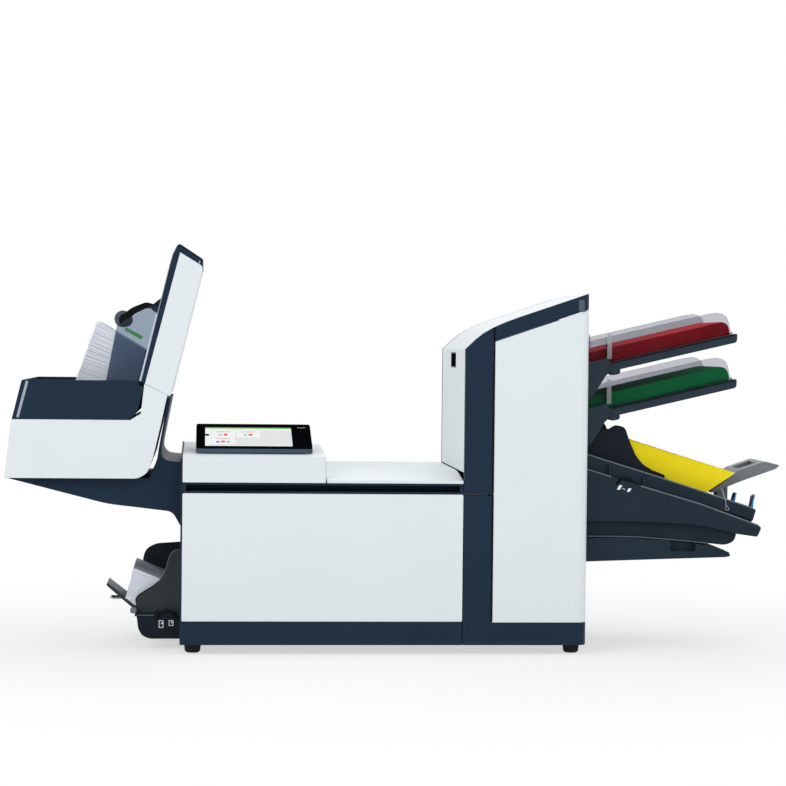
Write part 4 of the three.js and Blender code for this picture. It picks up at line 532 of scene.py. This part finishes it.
for name, rise in tray_rises.items():
    stops = []
    for front in stop_fronts:
        middle_point = stop_middle + Vector((0, front, rise)) / 1000
        stop = bar(middle_point, stop_size, (0, -tray_slope, 0))
        round_edges(stop, 1.8, 3, lambda middle, run: abs(run.y) > 0.9 and middle.z < middle_point.z)
        stops.append(stop)
    settle(join(stops), name + "_tray_stops", acrylic, "machine", "clear_plastic")
    # These black bars are painted shadow where the sheets meet the tray.
    shadow_lines = []
    for front in shadow_line_fronts:
        lip = bar(shadow_line_middle + Vector((0, front, rise)) / 1000, shadow_line_size, (0, -tray_slope, 0))
        shadow_lines.append(round_edges(lip, 0.35, 2, lambda middle, run: True))
    settle(join(shadow_lines), name + "_tray_shadow_lines", black, "machine", "black_plastic")
    for side, front, inward in guide_faces:
        guide = name + "_guide_" + side
        flange = bar(flange_middle + Vector((0, front, rise)) / 1000, flange_size)
        round_edges(flange, 1.2, 3, lambda middle, run: abs(run.y) > 0.9)
        # A black strip painted as the flange's shadow, just beside it.
        flange_shadow = bar(flange_shadow_middle + Vector((0, front + flange_shadow_shift * inward, rise)) / 1000, flange_shadow_size)
        round_edges(flange_shadow, 0.3, 2, lambda middle, run: True)
        settle(flange, guide + "_flange", flange_acrylic, guide, "clear_plastic")
        settle(flange_shadow, guide + "_seam", black, guide, "black_plastic")

# Sheets on the two trays: coloured copier paper, 80 g, in quires that settled a hair apart. Fine dark lines
# along the sheets are painted shade in the gaps between them, and the upper sheets lean over at their
# trailing ends.
# The sheet edges group paints shade: its Dark Shade streaks stand for the shade in the gaps between sheets.
sheet_group, given, result = make_group(
    "sheet edges",
    (("Light Shade", "Color", (0.9, 0.9, 0.9, 1)), ("Dark Shade", "Color", (0.7, 0.7, 0.7, 1)),
     ("Tilt", "Vector", (0, 0, 0)), ("Pitch", "Float", 1500.0)),
    (("Color", "Color"), ("Height", "Float")))
spot = add(sheet_group, "TexCoord")
turned = add(sheet_group, "Mapping")
thin = add(sheet_group, "CombineXYZ", X=6.0, Y=6.0)
squeeze = add(sheet_group, "VectorMath", operation="MULTIPLY")
painted_shade_lines = add(sheet_group, "TexNoise", Scale=1, Detail=4)
fibre = add(sheet_group, "TexNoise", Scale=450, Detail=2)
both = add(sheet_group, "Math", operation="MULTIPLY_ADD")
both.inputs[1].default_value = 0.18
ramp = add(sheet_group, "MapRange", **{"From Min": 0.38, "From Max": 0.75})
colour = add(sheet_group, "Mix", data_type="RGBA")
wire(sheet_group, spot, "Object", turned, "Vector")
wire(sheet_group, given, "Tilt", turned, "Rotation")
wire(sheet_group, given, "Pitch", thin, "Z")
wire(sheet_group, turned, "Vector", squeeze, 0)
wire(sheet_group, thin, "Vector", squeeze, 1)
wire(sheet_group, squeeze, "Vector", painted_shade_lines, "Vector")
wire(sheet_group, spot, "Object", fibre, "Vector")
wire(sheet_group, fibre, "Fac", both, 0)
wire(sheet_group, painted_shade_lines, "Fac", both, 2)
wire(sheet_group, both, 0, ramp, "Value")
wire(sheet_group, ramp, "Result", colour, "Factor")
wire(sheet_group, given, "Light Shade", colour, "A")
wire(sheet_group, given, "Dark Shade", colour, "B")
wire(sheet_group, colour, "Result", result, "Color")
wire(sheet_group, painted_shade_lines, "Fac", result, "Height")


def paper(name, light, dark, tilt, pitch=1500.0, relief=0.35):
    made = bpy.data.materials.new(name)
    made.use_nodes = True
    tree = made.node_tree
    shader = tree.nodes["Principled BSDF"]
    sheets = add(tree, "Group", node_tree=sheet_group)
    for label, value in (("Light Shade", (*light, 1)), ("Dark Shade", (*dark, 1)),
                         ("Tilt", (0, math.radians(tilt), 0)), ("Pitch", pitch)):
        sheets.inputs[label].default_value = value
    bump = add(tree, "Bump", Strength=relief, Distance=0.0003)
    shader.inputs["Roughness"].default_value = 0.85
    shader.inputs["Specular IOR Level"].default_value = 0.15
    wire(tree, sheets, "Color", shader, "Base Color")
    wire(tree, sheets, "Height", bump, "Height")
    wire(tree, bump, "Normal", shader, "Normal")
    return made


def lay(model, places):
    laid = []
    for place, slope, stretch in places:
        bpy.ops.object.select_all(action="DESELECT")
        model.select_set(True)
        bpy.context.view_layer.objects.active = model
        bpy.ops.object.duplicate()
        copy = bpy.context.object
        copy.location = place
        copy.rotation_euler = (0, -math.radians(slope), 0)
        copy.scale = stretch
        bpy.ops.object.transform_apply(location=True, rotation=True, scale=True)
        laid.append(copy)
    bpy.data.objects.remove(model)
    return join(laid)


random.seed(7)
sheet_width = 0.2092
middle_y = (face_y("tower_base") + face_y("tower_base", back=True)) / 2
# The dark colour of each pair is the painted shade of the lines between the sheets.
sheet_shades = {"red": ((0.80, 0.010, 0.034), (0.52, 0.005, 0.018)),
                "green": ((0.004, 0.56, 0.155), (0.003, 0.42, 0.11))}
quires, pile_high = 16, 25
quire_high = pile_high / quires
lean_from, lean_radius = 11, 14
sheets_start, sheets_end = 20, 317
up_tray = Vector((math.cos(math.radians(tray_slope)), 0, math.sin(math.radians(tray_slope))))
off_tray = Vector((-math.sin(math.radians(tray_slope)), 0, math.cos(math.radians(tray_slope))))
for name, (light, dark) in sheet_shades.items():
    quire = bar(Vector((0.5, 0, 0.5)), (1000, 1000, 1000))
    round_edges(quire, 60, 2, lambda middle, run: abs(run.y) > 0.9 and middle.x > 0.9 and middle.z > 0.9)
    places = []
    for k in range(quires):
        over = max(0, (k + 0.5) * quire_high - lean_from)
        lean = lean_radius - math.sqrt(max(0, lean_radius ** 2 - over ** 2))
        start = sheets_start + random.uniform(0, 0.8)
        run_length = sheets_end - lean - start - random.uniform(0, 0.5)
        foot = at(199, 0, 512.5 + tray_rises[name]) + (up_tray * start + off_tray * k * quire_high) / 1000
        foot.y = at(0, middle_y + random.uniform(-0.3, 0.3), 0).y
        places.append((foot, tray_slope, (run_length / 1000, sheet_width, quire_high * 0.97 / 1000)))
    settle(lay(quire, places), name + "_sheets", paper(name + " copier paper", light, dark, tray_slope),
           "machine", name + "_paper", name + "_paper_stack")

# Large feeder: body, deck, rails and lower tray are near-black navy mouldings on the tower's right side. A
# pale bead painted as a highlight runs along the top of the front rail and others along the body's shoulder.
# Short posts and a web carry the deck; a black line painted as the shadow under the body parts it from its
# belly, and a pale line painted as a highlight runs between the belly and the lower tray.
dark_navy = moulded("dark navy moulded plastic", (0.006, 0.013, 0.022), (0.004, 0.009, 0.016),
                    (0.045, 0.068, 0.09), rough=(0.36, 0.5), dust=0.012, radius=0.001, gloss=0.14)
dress(dark_navy, "maxi_guide_front", "maxi_guide_rear", "hopper_base")
feeder_navy = moulded("feeder moulded plastic", (0.013, 0.027, 0.043), (0.007, 0.016, 0.027),
                      (0.08, 0.11, 0.14), rough=(0.36, 0.5), dust=0.012, radius=0.0012, gloss=0.14)
dress(feeder_navy, "maxi_body", "maxi_deck", "maxi_lower_tray")
# Pale bead colour: painted highlights along the feeder's rounded edges.
painted_highlight_finish = moulded("painted highlight bead", (0.10, 0.135, 0.165), (0.075, 0.105, 0.13), (0.20, 0.24, 0.27),
                      rough=(0.25, 0.36), radius=0.0006, gloss=0.4)


def draw_bead(points, radius):
    bpy.ops.object.select_all(action="DESELECT")
    bpy.ops.mesh.primitive_plane_add(size=0.001, location=points[0])
    bpy.ops.object.transform_apply(location=True, rotation=True, scale=True)
    bpy.ops.object.mode_set(mode="EDIT")
    bpy.ops.mesh.select_mode(type="VERT")
    bpy.ops.mesh.select_all(action="SELECT")
    bpy.ops.mesh.merge(type="CENTER")
    for start, end in zip(points, points[1:]):
        bpy.ops.mesh.extrude_region_move(TRANSFORM_OT_translate={"value": end - start})
    bpy.ops.object.mode_set(mode="OBJECT")
    bpy.ops.object.convert(target="CURVE")
    line = bpy.context.object
    line.data.bevel_depth = radius / 1000
    line.data.bevel_resolution = 2
    line.data.use_fill_caps = True
    bpy.ops.object.convert(target="MESH")
    return bpy.context.object


deck_face, body_face = face_y("maxi_deck"), face_y("maxi_body")
feeder_beads = (
    ("maxi_rail_bead", painted_highlight_finish, "navy_plastic", deck_face + 0.2, 1.5,
     ((229, 362.4), (366, 320.4), (519, 271.5), (544.5, 263.6))),
    ("maxi_shoulder_bead_left", painted_highlight_finish, "navy_plastic", body_face + 0.3, 1.3,
     ((229, 335.2), (276, 321))),
    ("maxi_shoulder_bead_right", painted_highlight_finish, "navy_plastic", body_face + 0.3, 1.5,
     ((331, 304.2), (380, 290), (440, 272.6), (552, 232.6))),
    # A black line painted as the shadow under the body's lower edge.
    ("maxi_belly_seam", black, "black_plastic", body_face + 0.2, 0.9,
     ((229.5, 238), (284.5, 238.3), (359.6, 236.9), (422.3, 233.7), (460, 228.4), (507.9, 217.6))),
    # A pale line painted as a highlight between the belly and the lower tray.
    ("maxi_tray_bead", painted_highlight_finish, "navy_plastic", body_face + 0.2, 0.8,
     ((229.5, 211.6), (284.9, 211.8), (329.9, 210.5), (385, 206.5), (430.2, 202.4), (455.4, 200.1))))
for name, finish, slot, front, radius, route in feeder_beads:
    settle(draw_bead([at(x, front, z) for x, z in route], radius), name, finish, "machine", slot)

post_wide, post_deep = 4.6, 7
posts = []
for middle_x, low, high in ((274.4, 317.6, 341.7), (338.4, 296.4, 320.0)):
    post = bar(at(middle_x, deck_face - post_deep / 2, (low + high) / 2), (post_wide, post_deep, high - low))
    posts.append(round_edges(post, 1.2, 3, lambda middle, run: abs(run.z) > 0.9))
settle(join(posts), "maxi_rail_posts", feeder_navy, "machine", "navy_plastic")
web_size, web_inset, deck_fall = (96, 5, 14), 9, 19.9
web = bar(at(494, deck_face + web_inset, 258.5), web_size, (0, deck_fall, 0))
round_edges(web, 2, 2, lambda middle, run: abs(run.y) > 0.9)
settle(web, "maxi_deck_web", dark_navy, "machine", "navy_plastic")

# Sheets in the large feeder: a pile of yellow paper that has slid over, so that its edges fan out at a slant
# between the deck and the feed head.
fan_slope = 34.0
fan = Vector((math.cos(math.radians(fan_slope)), 0, math.sin(math.radians(fan_slope))))
top_left, top_right = Vector((252, 0, 410.3)), Vector((531, 0, 324.3))
low_left, low_right = Vector((240, 0, 338.1)), Vector((449, 0, 276.7))
sheet_thick = 3.0
quire = bar(Vector((0.5, 0, -0.5)), (1000, 1000, 1000))
round_edges(quire, 120, 2, lambda middle, run: abs(run.y) > 0.9 and middle.x > 0.9)


def fan_length(start):
    edge = top_right - top_left
    over = start - top_left
    return (over.z * edge.x - over.x * edge.z) / (fan.x * edge.z - fan.z * edge.x)


places = []
along_left = (low_left - top_left).normalized()
along_low = (low_right - low_left).normalized()
step_left = sheet_thick / abs(along_left.x * fan.z - along_left.z * fan.x)
step_low = sheet_thick / abs(along_low.x * fan.z - along_low.z * fan.x)
left_count = int((low_left - top_left).length / step_left)
low_count = int((low_right - low_left).length / step_low)
starts = [top_left + along_left * (step_left * (i + 1)) for i in range(left_count)]
starts += [low_left + along_low * (step_low * (i + 0.6)) for i in range(low_count)]
shortest = 6
for start in starts:
    reach = fan_length(start) - random.uniform(0.3, 1.6)
    if reach > shortest:
        places.append((at(start.x, middle_y + random.uniform(-0.3, 0.3), start.z), fan_slope,
                       (reach / 1000, sheet_width, sheet_thick * 0.95 / 1000)))
# Its darker lines are painted shade between the fanned sheets.
yellow = paper("yellow copier paper", (1.0, 0.87, 0.02), (0.97, 0.73, 0.012), fan_slope, pitch=900.0)
settle(lay(quire, places), "maxi_sheets", yellow, "machine", "yellow_paper", "maxi_paper_stack")

# Support, levers and wire stay of the large feeder: a bent grey plate that slides along the deck, two black
# catch levers with a light-blue facing, and a stay of plated wire hooked under the plate.
dress(black, "power_inlet", "power_switch", "maxi_width_wheel", "maxi_lever_1", "maxi_lever_2",
      "hopper_width_wheel", "stacker_arm")
grey = moulded("grey moulded plastic", (0.17, 0.19, 0.21), (0.13, 0.15, 0.165), (0.32, 0.34, 0.36),
               rough=(0.38, 0.5))
dress(grey, "maxi_paper_support")
blue = moulded("light blue plastic", (0.012, 0.31, 0.70), (0.010, 0.25, 0.58), (0.12, 0.45, 0.80),
               rough=(0.3, 0.4))
lever_middle_y = (face_y("maxi_lever_1") + face_y("maxi_lever_1", back=True)) / 2
facing_thick, facing_proud = 2.8, 0.5
facing_deep = face_y("maxi_lever_1", back=True) - face_y("maxi_lever_1") + 2 * facing_proud
for number, low, high in ((1, at(519.6, lever_middle_y, 270), at(524.6, lever_middle_y, 288.8)),
                          (2, at(553.4, lever_middle_y, 260), at(559.8, lever_middle_y, 285.2))):
    reach = high - low
    slope = math.degrees(math.atan2(reach.x, reach.z))
    facing = bar((low + high) / 2, (facing_thick, facing_deep, reach.length * 1000), (0, slope, 0))
    round_edges(facing, 0.5, 2, lambda middle, run: True)
    settle(facing, f"maxi_lever_facing_{number}", blue, f"maxi_lever_{number}", "black_plastic")
wire_shine = moulded("plated wire", (0.42, 0.44, 0.46), (0.34, 0.36, 0.38), (0.6, 0.6, 0.6), rough=(0.2, 0.3))
stay_y, hook_y = deck_face - 1.8, deck_face - 0.8
stay_route = [at(484.7, deck_face - 1.4, 299.6), at(486.5, stay_y, 295), at(492.6, stay_y, 276),
              at(493.6, stay_y, 269.5), at(499.8, stay_y, 261.2), at(498, hook_y, 259.6),
              at(492.8, hook_y, 260.2), at(492.6, hook_y, 268)]
settle(draw_bead(stay_route, 0.7), "maxi_wire_stay", wire_shine, "machine", "steel")

# Marks on the front wall of the large feeder: a wide and a narrow sheet joined by a small wave, pad-printed
# in white under the width wheel.
print_white = moulded("white pad print", (0.83, 0.86, 0.88), (0.76, 0.80, 0.83), (0.85, 0.87, 0.9),
                      rough=(0.5, 0.6))
print_thick, print_y, lean_fall = 0.3, body_face - 0.05, 0.28


def leaning_mark(left, right, low, high, lean):
    mark = bar(at((left + right) / 2, print_y, (low + high) / 2), (right - left, print_thick, high - low))
    pick(mark, "VERT", lambda point: point.z > (low + high) / 2000)
    bpy.ops.transform.translate(value=(lean / 1000, 0, -lean * lean_fall / 1000))
    bpy.ops.object.mode_set(mode="OBJECT")
    return round_edges(mark, 0.5, 2, lambda middle, run: abs(run.y) > 0.9)


marks = [leaning_mark(286.4, 292.4, 297.4, 307.0, 4.6), leaning_mark(304.8, 310.6, 293.6, 301.0, 3.4),
         leaning_mark(296.8, 299.0, 298.4, 300.2, 0.8), leaning_mark(299.8, 301.6, 297.2, 299.0, 0.8)]
settle(join(marks), "maxi_width_marks", print_white, "machine", "white_plastic")

# Envelope hopper: dark base with a grey knob on its round stop, near guide in textured olive grey with a
# rolled edge painted paler as its highlight, far guide in plain slate, and the grey slider that pushes the
# pile, with its plated tongue.
olive = moulded("olive grey textured plastic", (0.050, 0.060, 0.063), (0.034, 0.043, 0.047),
                (0.12, 0.13, 0.135), rough=(0.5, 0.65), grain_size=900.0, relief=0.35, gloss=0.16)
dress(olive, "hopper_guide_front")
far_slate = moulded("dark slate plastic", (0.022, 0.036, 0.045), (0.015, 0.026, 0.034), (0.05, 0.07, 0.085),
                    rough=(0.45, 0.6), gloss=0.2)
dress(far_slate, "hopper_guide_rear")
slider_slate = moulded("slider slate plastic", (0.022, 0.036, 0.046), (0.016, 0.027, 0.036),
                       (0.12, 0.15, 0.17), rough=(0.4, 0.5), gloss=0.3)
dress(slider_slate, "hopper_slider")
guide_edge = [(-511.2, 180.9), (-518, 180.2), (-523.4, 178.3), (-527.5, 174.3), (-530.2, 169.1),
              (-535.1, 152.5), (-538.3, 143.3), (-542, 134.9), (-546.4, 127.5), (-551.5, 121.4),
              (-557.3, 116.3), (-563.8, 111.8), (-572.5, 106.6), (-583, 99.9), (-588.2, 95.4),
              (-590.2, 91.1), (-591.2, 86.4)]
# The rolled edge's pale colour is a painted highlight.
painted_edge_highlight = moulded("rolled edge highlight", (0.13, 0.14, 0.145), (0.10, 0.11, 0.115), (0.25, 0.25, 0.25),
                 rough=(0.3, 0.4))
edge_y, trim_y = face_y("hopper_guide_front") + 0.6, face_y("hopper_guide_front") + 0.4
settle(draw_bead([at(x, edge_y, z) for x, z in guide_edge[:10]], 0.7), "hopper_guide_edge", painted_edge_highlight,
       "hopper_guide_front", "charcoal_plastic")
settle(draw_bead([at(x, trim_y, z) for x, z in guide_edge[9:]], 1.1), "hopper_guide_trim", black,
       "hopper_guide_front", "black_plastic")
tongue = bar(at(-620, 200, 80.6), (32, 30, 1.8), (0, -2, 0))
pick(tongue, "FACE", lambda middle, normal: normal.x < -0.9)
bpy.ops.mesh.extrude_region_move(TRANSFORM_OT_translate={"value": (-0.006, 0, 0.0018)})
bpy.ops.transform.resize(value=(1, 0.55, 0.8))
bpy.ops.object.mode_set(mode="OBJECT")
round_edges(tongue, 0.4, 2, lambda middle, run: True)
bright = moulded("bright plated steel", (0.62, 0.66, 0.68), (0.50, 0.54, 0.57), (0.75, 0.77, 0.78),
                 rough=(0.2, 0.3))
settle(tongue, "hopper_slider_tongue", bright, "hopper_slider", "steel")
knob_size, knob_gap = (11.6, 3.2, 11.6), 0.1
knob = bar(at(-594.8, face_y("hopper_base") - knob_gap - knob_size[1] / 2, 71.6), knob_size)
round_edges(knob, 4.8, 5, lambda middle, run: abs(run.y) > 0.9)
pick(knob, "FACE", lambda middle, normal: normal.y < -0.9)
bpy.ops.mesh.inset(thickness=0.0016)
bpy.ops.mesh.extrude_region_move(TRANSFORM_OT_translate={"value": (0, -0.0012, 0)})
bpy.ops.object.mode_set(mode="OBJECT")
settle(knob, "hopper_base_knob", grey, "machine", "grey_plastic")


def flat_bead(points, radius, flatness, middle_point):
    bead = draw_bead(points, radius)
    pick(bead, "VERT", lambda point: True)
    bpy.ops.transform.resize(value=(1, flatness, 1), center_override=middle_point)
    bpy.ops.object.mode_set(mode="OBJECT")
    return bead


stop_proud = 4
hopper_wall = face_y("hopper_base") + stop_proud
# A flat black arc painted as the shade in the recess around the width wheel.
wheel_middle, recess_radius = at(-534.5, hopper_wall - 0.8, 48.4), 20.4
recess_turns = [math.radians(a) for a in range(20, 161, 10)]
recess_arc = [wheel_middle + Vector((math.cos(a), 0, math.sin(a))) * recess_radius / 1000
              for a in recess_turns]
settle(flat_bead(recess_arc, 3.4, 0.22, wheel_middle), "hopper_wheel_recess", black, "machine",
       "black_plastic")
# A pale bead painted as a highlight along the hopper base's wall.
settle(draw_bead([at(x, hopper_wall - 0.4, 61.8) for x in (-590, -558)], 0.9), "hopper_base_bead",
       painted_highlight_finish, "machine", "navy_plastic")

# Envelopes in the hopper: white envelopes, folded and gummed from one sheet each, that lie a little fanned
# between the guides. The pile bellies out over the slider's tongue.
# Its darker lines are painted shade between the envelopes.
envelope_white = paper("envelope paper", (0.90, 0.92, 0.98), (0.78, 0.81, 0.91), -12, pitch=700.0)
envelope = bar(Vector((0.5, 0, 0.5)), (1000, 1000, 1000))
pick(envelope, "VERT", lambda point: point.x > 0.9 and point.z > 0.9)
bpy.ops.transform.translate(value=(0, 0, -0.46))
bpy.ops.object.mode_set(mode="OBJECT")
round_edges(envelope, 140, 2, lambda middle, run: abs(run.y) > 0.9 and middle.z > 0.9)
pile_foot, pile_belly, pile_waist, pile_top = ((-590, 72.2), (-611, 89), (-607.5, 100), (-597, 144.8))
left_side = [(0.0, pile_foot), (0.25, pile_belly), (0.4, pile_waist), (1.0, pile_top)]
right_low, right_high = Vector((-511.2, 0, 72.0)), Vector((-511.2, 0, 110.2))


def left_edge(share):
    for (low_share, low), (high_share, high) in zip(left_side, left_side[1:]):
        if share < high_share:
            way = (share - low_share) / (high_share - low_share)
            return Vector((low[0], 0, low[1])).lerp(Vector((high[0], 0, high[1])), way)


envelope_wide, envelope_thick = 0.2078, 0.00355
places = []
count = 21
for k in range(count):
    share = (k + 0.2) / count
    left = left_edge(share)
    right = right_low.lerp(right_high, share)
    slope = math.degrees(math.atan2(right.z - left.z, right.x - left.x))
    length = math.hypot(right.x - left.x, right.z - left.z) - random.uniform(0.4, 1.8)
    left.x += random.uniform(0, 1.0)
    places.append((at(left.x, middle_y + random.uniform(-0.35, 0.35), left.z), slope,
                   (length / 1000, envelope_wide, envelope_thick)))
settle(lay(envelope, places), "hopper_envelope_pile", envelope_white, "machine", "white_paper",
       "hopper_envelopes")


# Marks on the hopper's base: an upright and a square page, each with a folded corner, pad-printed in white
# beside the width wheel.
def page_mark(left, low, width, height):
    page = bar(at(left + width / 2, hopper_wall - 0.05, low + height / 2), (width, print_thick, height))
    pick(page, "FACE", lambda middle, normal: normal.y < -0.9)
    bpy.ops.mesh.inset(thickness=0.0014)
    bpy.ops.mesh.extrude_region_move(TRANSFORM_OT_translate={"value": (0, 0.00025, 0)})
    bpy.ops.object.mode_set(mode="OBJECT")
    round_edges(page, 0.9, 3, lambda middle, run: abs(run.y) > 0.9)
    fold = bar(at(left + width * 0.66, hopper_wall - 0.1, low + height * 0.62),
               (width * 0.3, print_thick, width * 0.45), (0, 30, 0))
    round_edges(fold, 0.5, 2, lambda middle, run: abs(run.y) > 0.9)
    return join([page, fold])


settle(join([page_mark(-548.8, 38.8, 8.8, 14), page_mark(-530.8, 42.5, 8.8, 10.4)]), "hopper_width_marks",
       print_white, "machine", "white_plastic")

# Envelopes in the stacker: closed, filled envelopes that lie on each other in a leaning pile. Their folded
# ends make the pile open out to the left.
envelope = bar(Vector((0.5, 0, 0.5)), (1000, 1000, 1000))
pick(envelope, "VERT", lambda point: point.x > 0.9 and point.z > 0.9)
bpy.ops.transform.translate(value=(0, 0, -0.26))
bpy.ops.object.mode_set(mode="OBJECT")
round_edges(envelope, 160, 2, lambda middle, run: abs(run.y) > 0.9 and middle.x < 0.1)
left_low, left_high = Vector((-727.0, 0, 419.5)), Vector((-667.0, 0, 597.5))
right_side = [Vector((-616.2, 0, 419.5)), Vector((-598.4, 0, 463.0)), Vector((-588.3, 0, 491.6)),
              Vector((-576.6, 0, 543.6))]
right_run = [(b - a).length for a, b in zip(right_side, right_side[1:])]
envelope_wide, envelope_thick = 0.2278, 0.00312
places = []
count = 54
for k in range(count):
    share = k / count
    left = left_low.lerp(left_high, share)
    left.x += random.uniform(0.0, 1.3)
    way = share * sum(right_run)
    for a, b, run_length in zip(right_side, right_side[1:], right_run):
        if way <= run_length or b is right_side[-1]:
            right = a.lerp(b, min(1, way / run_length))
            break
        way -= run_length
    slope = math.degrees(math.atan2(right.z - left.z, right.x - left.x))
    length = math.hypot(right.x - left.x, right.z - left.z) - random.uniform(0.2, 1.2)
    places.append((at(left.x, middle_y + random.uniform(-0.4, 0.4), left.z), slope,
                   (length / 1000, envelope_wide, envelope_thick)))
# Its darker lines are painted shade between the stacked envelopes.
stacked_white = paper("stacked envelope paper", (0.90, 0.92, 0.97), (0.74, 0.77, 0.87), -20, pitch=520.0)
settle(lay(envelope, places), "stacker_envelope_pile", stacked_white, "machine", "white_paper",
       "stacker_envelopes")

# Pressing roller: a ground roller of blue-grey rubber at the arm's end, a little above the top envelope. A
# black boss caps its axle.
blue_rubber = moulded("blue grey roller rubber", (0.055, 0.075, 0.12), (0.03, 0.043, 0.075),
                      (0.16, 0.19, 0.25), rough=(0.14, 0.22), radius=0.002, gloss=0.7)
dress(blue_rubber, "stacker_arm_roller")
boss_size = (25.2, 1.8, 25.2)
boss = bar(at(-614, face_y("stacker_arm") - boss_size[1] / 2, 599.4), boss_size)
round_edges(boss, 12.4, 8, lambda middle, run: abs(run.y) > 0.9)
settle(boss, "stacker_arm_boss", black, "stacker_arm", "black_plastic")

# Guard in front of the pile: smoke-grey acrylic with a green strip stuck along its lower edge. Pale strips
# along the plate behind it are painted highlights, a black trim runs along its top, and a pale bead up the
# fence's rounded corner is a painted reflection.
smoke = acrylic_sheet("smoke acrylic", (0.33, 0.40, 0.50), (0.29, 0.355, 0.45))
smoke.node_tree.nodes["Principled BSDF"].inputs["Transmission Weight"].default_value = 0.93
dress(smoke, "stacker_guard")
strip_size, strip_fall = (35.5, 0.3, 6.6), 28.5
strip = bar(at(-599.4, face_y("stacker_guard") - strip_size[1], 575.2), strip_size, (0, strip_fall, 0))
round_edges(strip, 0.9, 2, lambda middle, run: abs(run.y) > 0.9)
settle(strip, "guard_strip", green_gloss, "machine", "green_plastic")
# Pale strip colour: painted highlights and reflections on rounded edges.
pale_highlight = moulded("pale highlight strip", (0.36, 0.42, 0.50), (0.28, 0.34, 0.42), (0.5, 0.55, 0.6),
                    rough=(0.3, 0.4))
plate_face = face_y("stacker_transport_plate")
plate_edge = [at(x, plate_face + 0.6, z)
              for x, z in ((-583.3, 489), (-532.9, 700), (-528.2, 717), (-521.2, 731.6))]
settle(draw_bead(plate_edge, 0.8), "plate_edge_highlight", pale_highlight, "machine", "navy_plastic")
# White strip colour: a painted highlight at the plate's left edge.
white_highlight = moulded("white highlight strip", (0.60, 0.67, 0.74), (0.50, 0.57, 0.65), (0.7, 0.75, 0.8),
                     rough=(0.3, 0.4))
settle(draw_bead([at(-584.8, plate_face + 0.8, 489.5), at(-556, plate_face + 0.8, 609)], 1.4),
       "plate_inner_highlight", white_highlight, "machine", "navy_plastic")
settle(draw_bead([at(-514.5, plate_face + 0.2, 734.2), at(-476.5, plate_face + 0.2, 709.5)], 1.2),
       "plate_top_trim", black, "machine", "black_plastic")
# A small pale strip painted as the sheen at the plate's corner.
settle(draw_bead([at(-480, plate_face + 0.2, 706), at(-480.8, plate_face + 0.2, 701)], 1.4),
       "plate_corner_highlight", pale_highlight, "machine", "navy_plastic")
# A flattened pale bead painted as the reflection on the fence's rounded corner.
fence_y = face_y("stacker_fence") + 0.6
fence_corner = flat_bead([at(-802, fence_y, 422.6), at(-785.4, fence_y, 487.6)], 3.2, 0.3,
                         at(-794, fence_y, 455))
settle(fence_corner, "fence_corner_reflection", pale_highlight, "machine", "navy_plastic")

# Rounded end of the hood frame: a flat bead where the navy frame turns the corner, painted paler as the
# highlight on the rounded corner.
corner_highlight_navy = moulded("navy corner highlight", (0.060, 0.088, 0.125), (0.045, 0.068, 0.10), (0.03, 0.05, 0.08),
                    rough=(0.4, 0.5), radius=0.003)
hood_corner = flat_bead([at(210, 0.4, 622), at(210, 0.4, 644)], 6.5, 0.12, at(210, 0.4, 634))
settle(hood_corner, "hood_frame_corner_highlight", corner_highlight_navy, "hood", "navy_plastic")

# Seam strips of the tower: black rubber lips stuck over the slit between the dark strip and the front panel,
# one on the hood frame and one below it on the base, and black plates painted as the shade inside the
# hood's hand grip.
panel_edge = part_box("tower_front_panel")[0].x * 1000 - seam_from_middle
lip_x, lip_y, lip_wide, lip_thick = panel_edge - 1, -0.4, 3.6, 0.5
seam_lips = (("hood_seam_lip", "hood", 292.5, 592), ("panel_seam_lip", "machine", 59, 290.5))
for name, body, low, high in seam_lips:
    lip = bar(at(lip_x, lip_y, (low + high) / 2), (lip_wide, lip_thick, high - low))
    round_edges(lip, 0.2, 2, lambda middle, run: abs(run.z) > 0.9)
    settle(lip, name, black, body, "black_plastic")
# Two black plates painted as the shade in the hollow of the hand grip.
grip_deep, grip_wide, grip_high, grip_shade_thick, grip_z = 19, 89, 29, 0.8, 529.5
grip_end = bar(at(10, 254.2, grip_z), (grip_deep, grip_shade_thick, grip_high))
grip_floor = bar(at(19.4, middle_y, grip_z), (grip_shade_thick, grip_wide, grip_high))
settle(join([grip_end, grip_floor]), "hood_grip_shade", black, "hood", "black_plastic")

# Corner plate of the deck: a white plate let in flush behind the console's slanting corner, moulded like the
# deck.
corner_plate = bar(at(-268.9, 290.9, 325.9), (41.6, 41.6, 2.8))
round_edges(corner_plate, 0.3, 1, lambda middle, run: abs(run.z) > 0.9)
settle(corner_plate, "deck_corner_plate", white, "machine", "white_plastic")
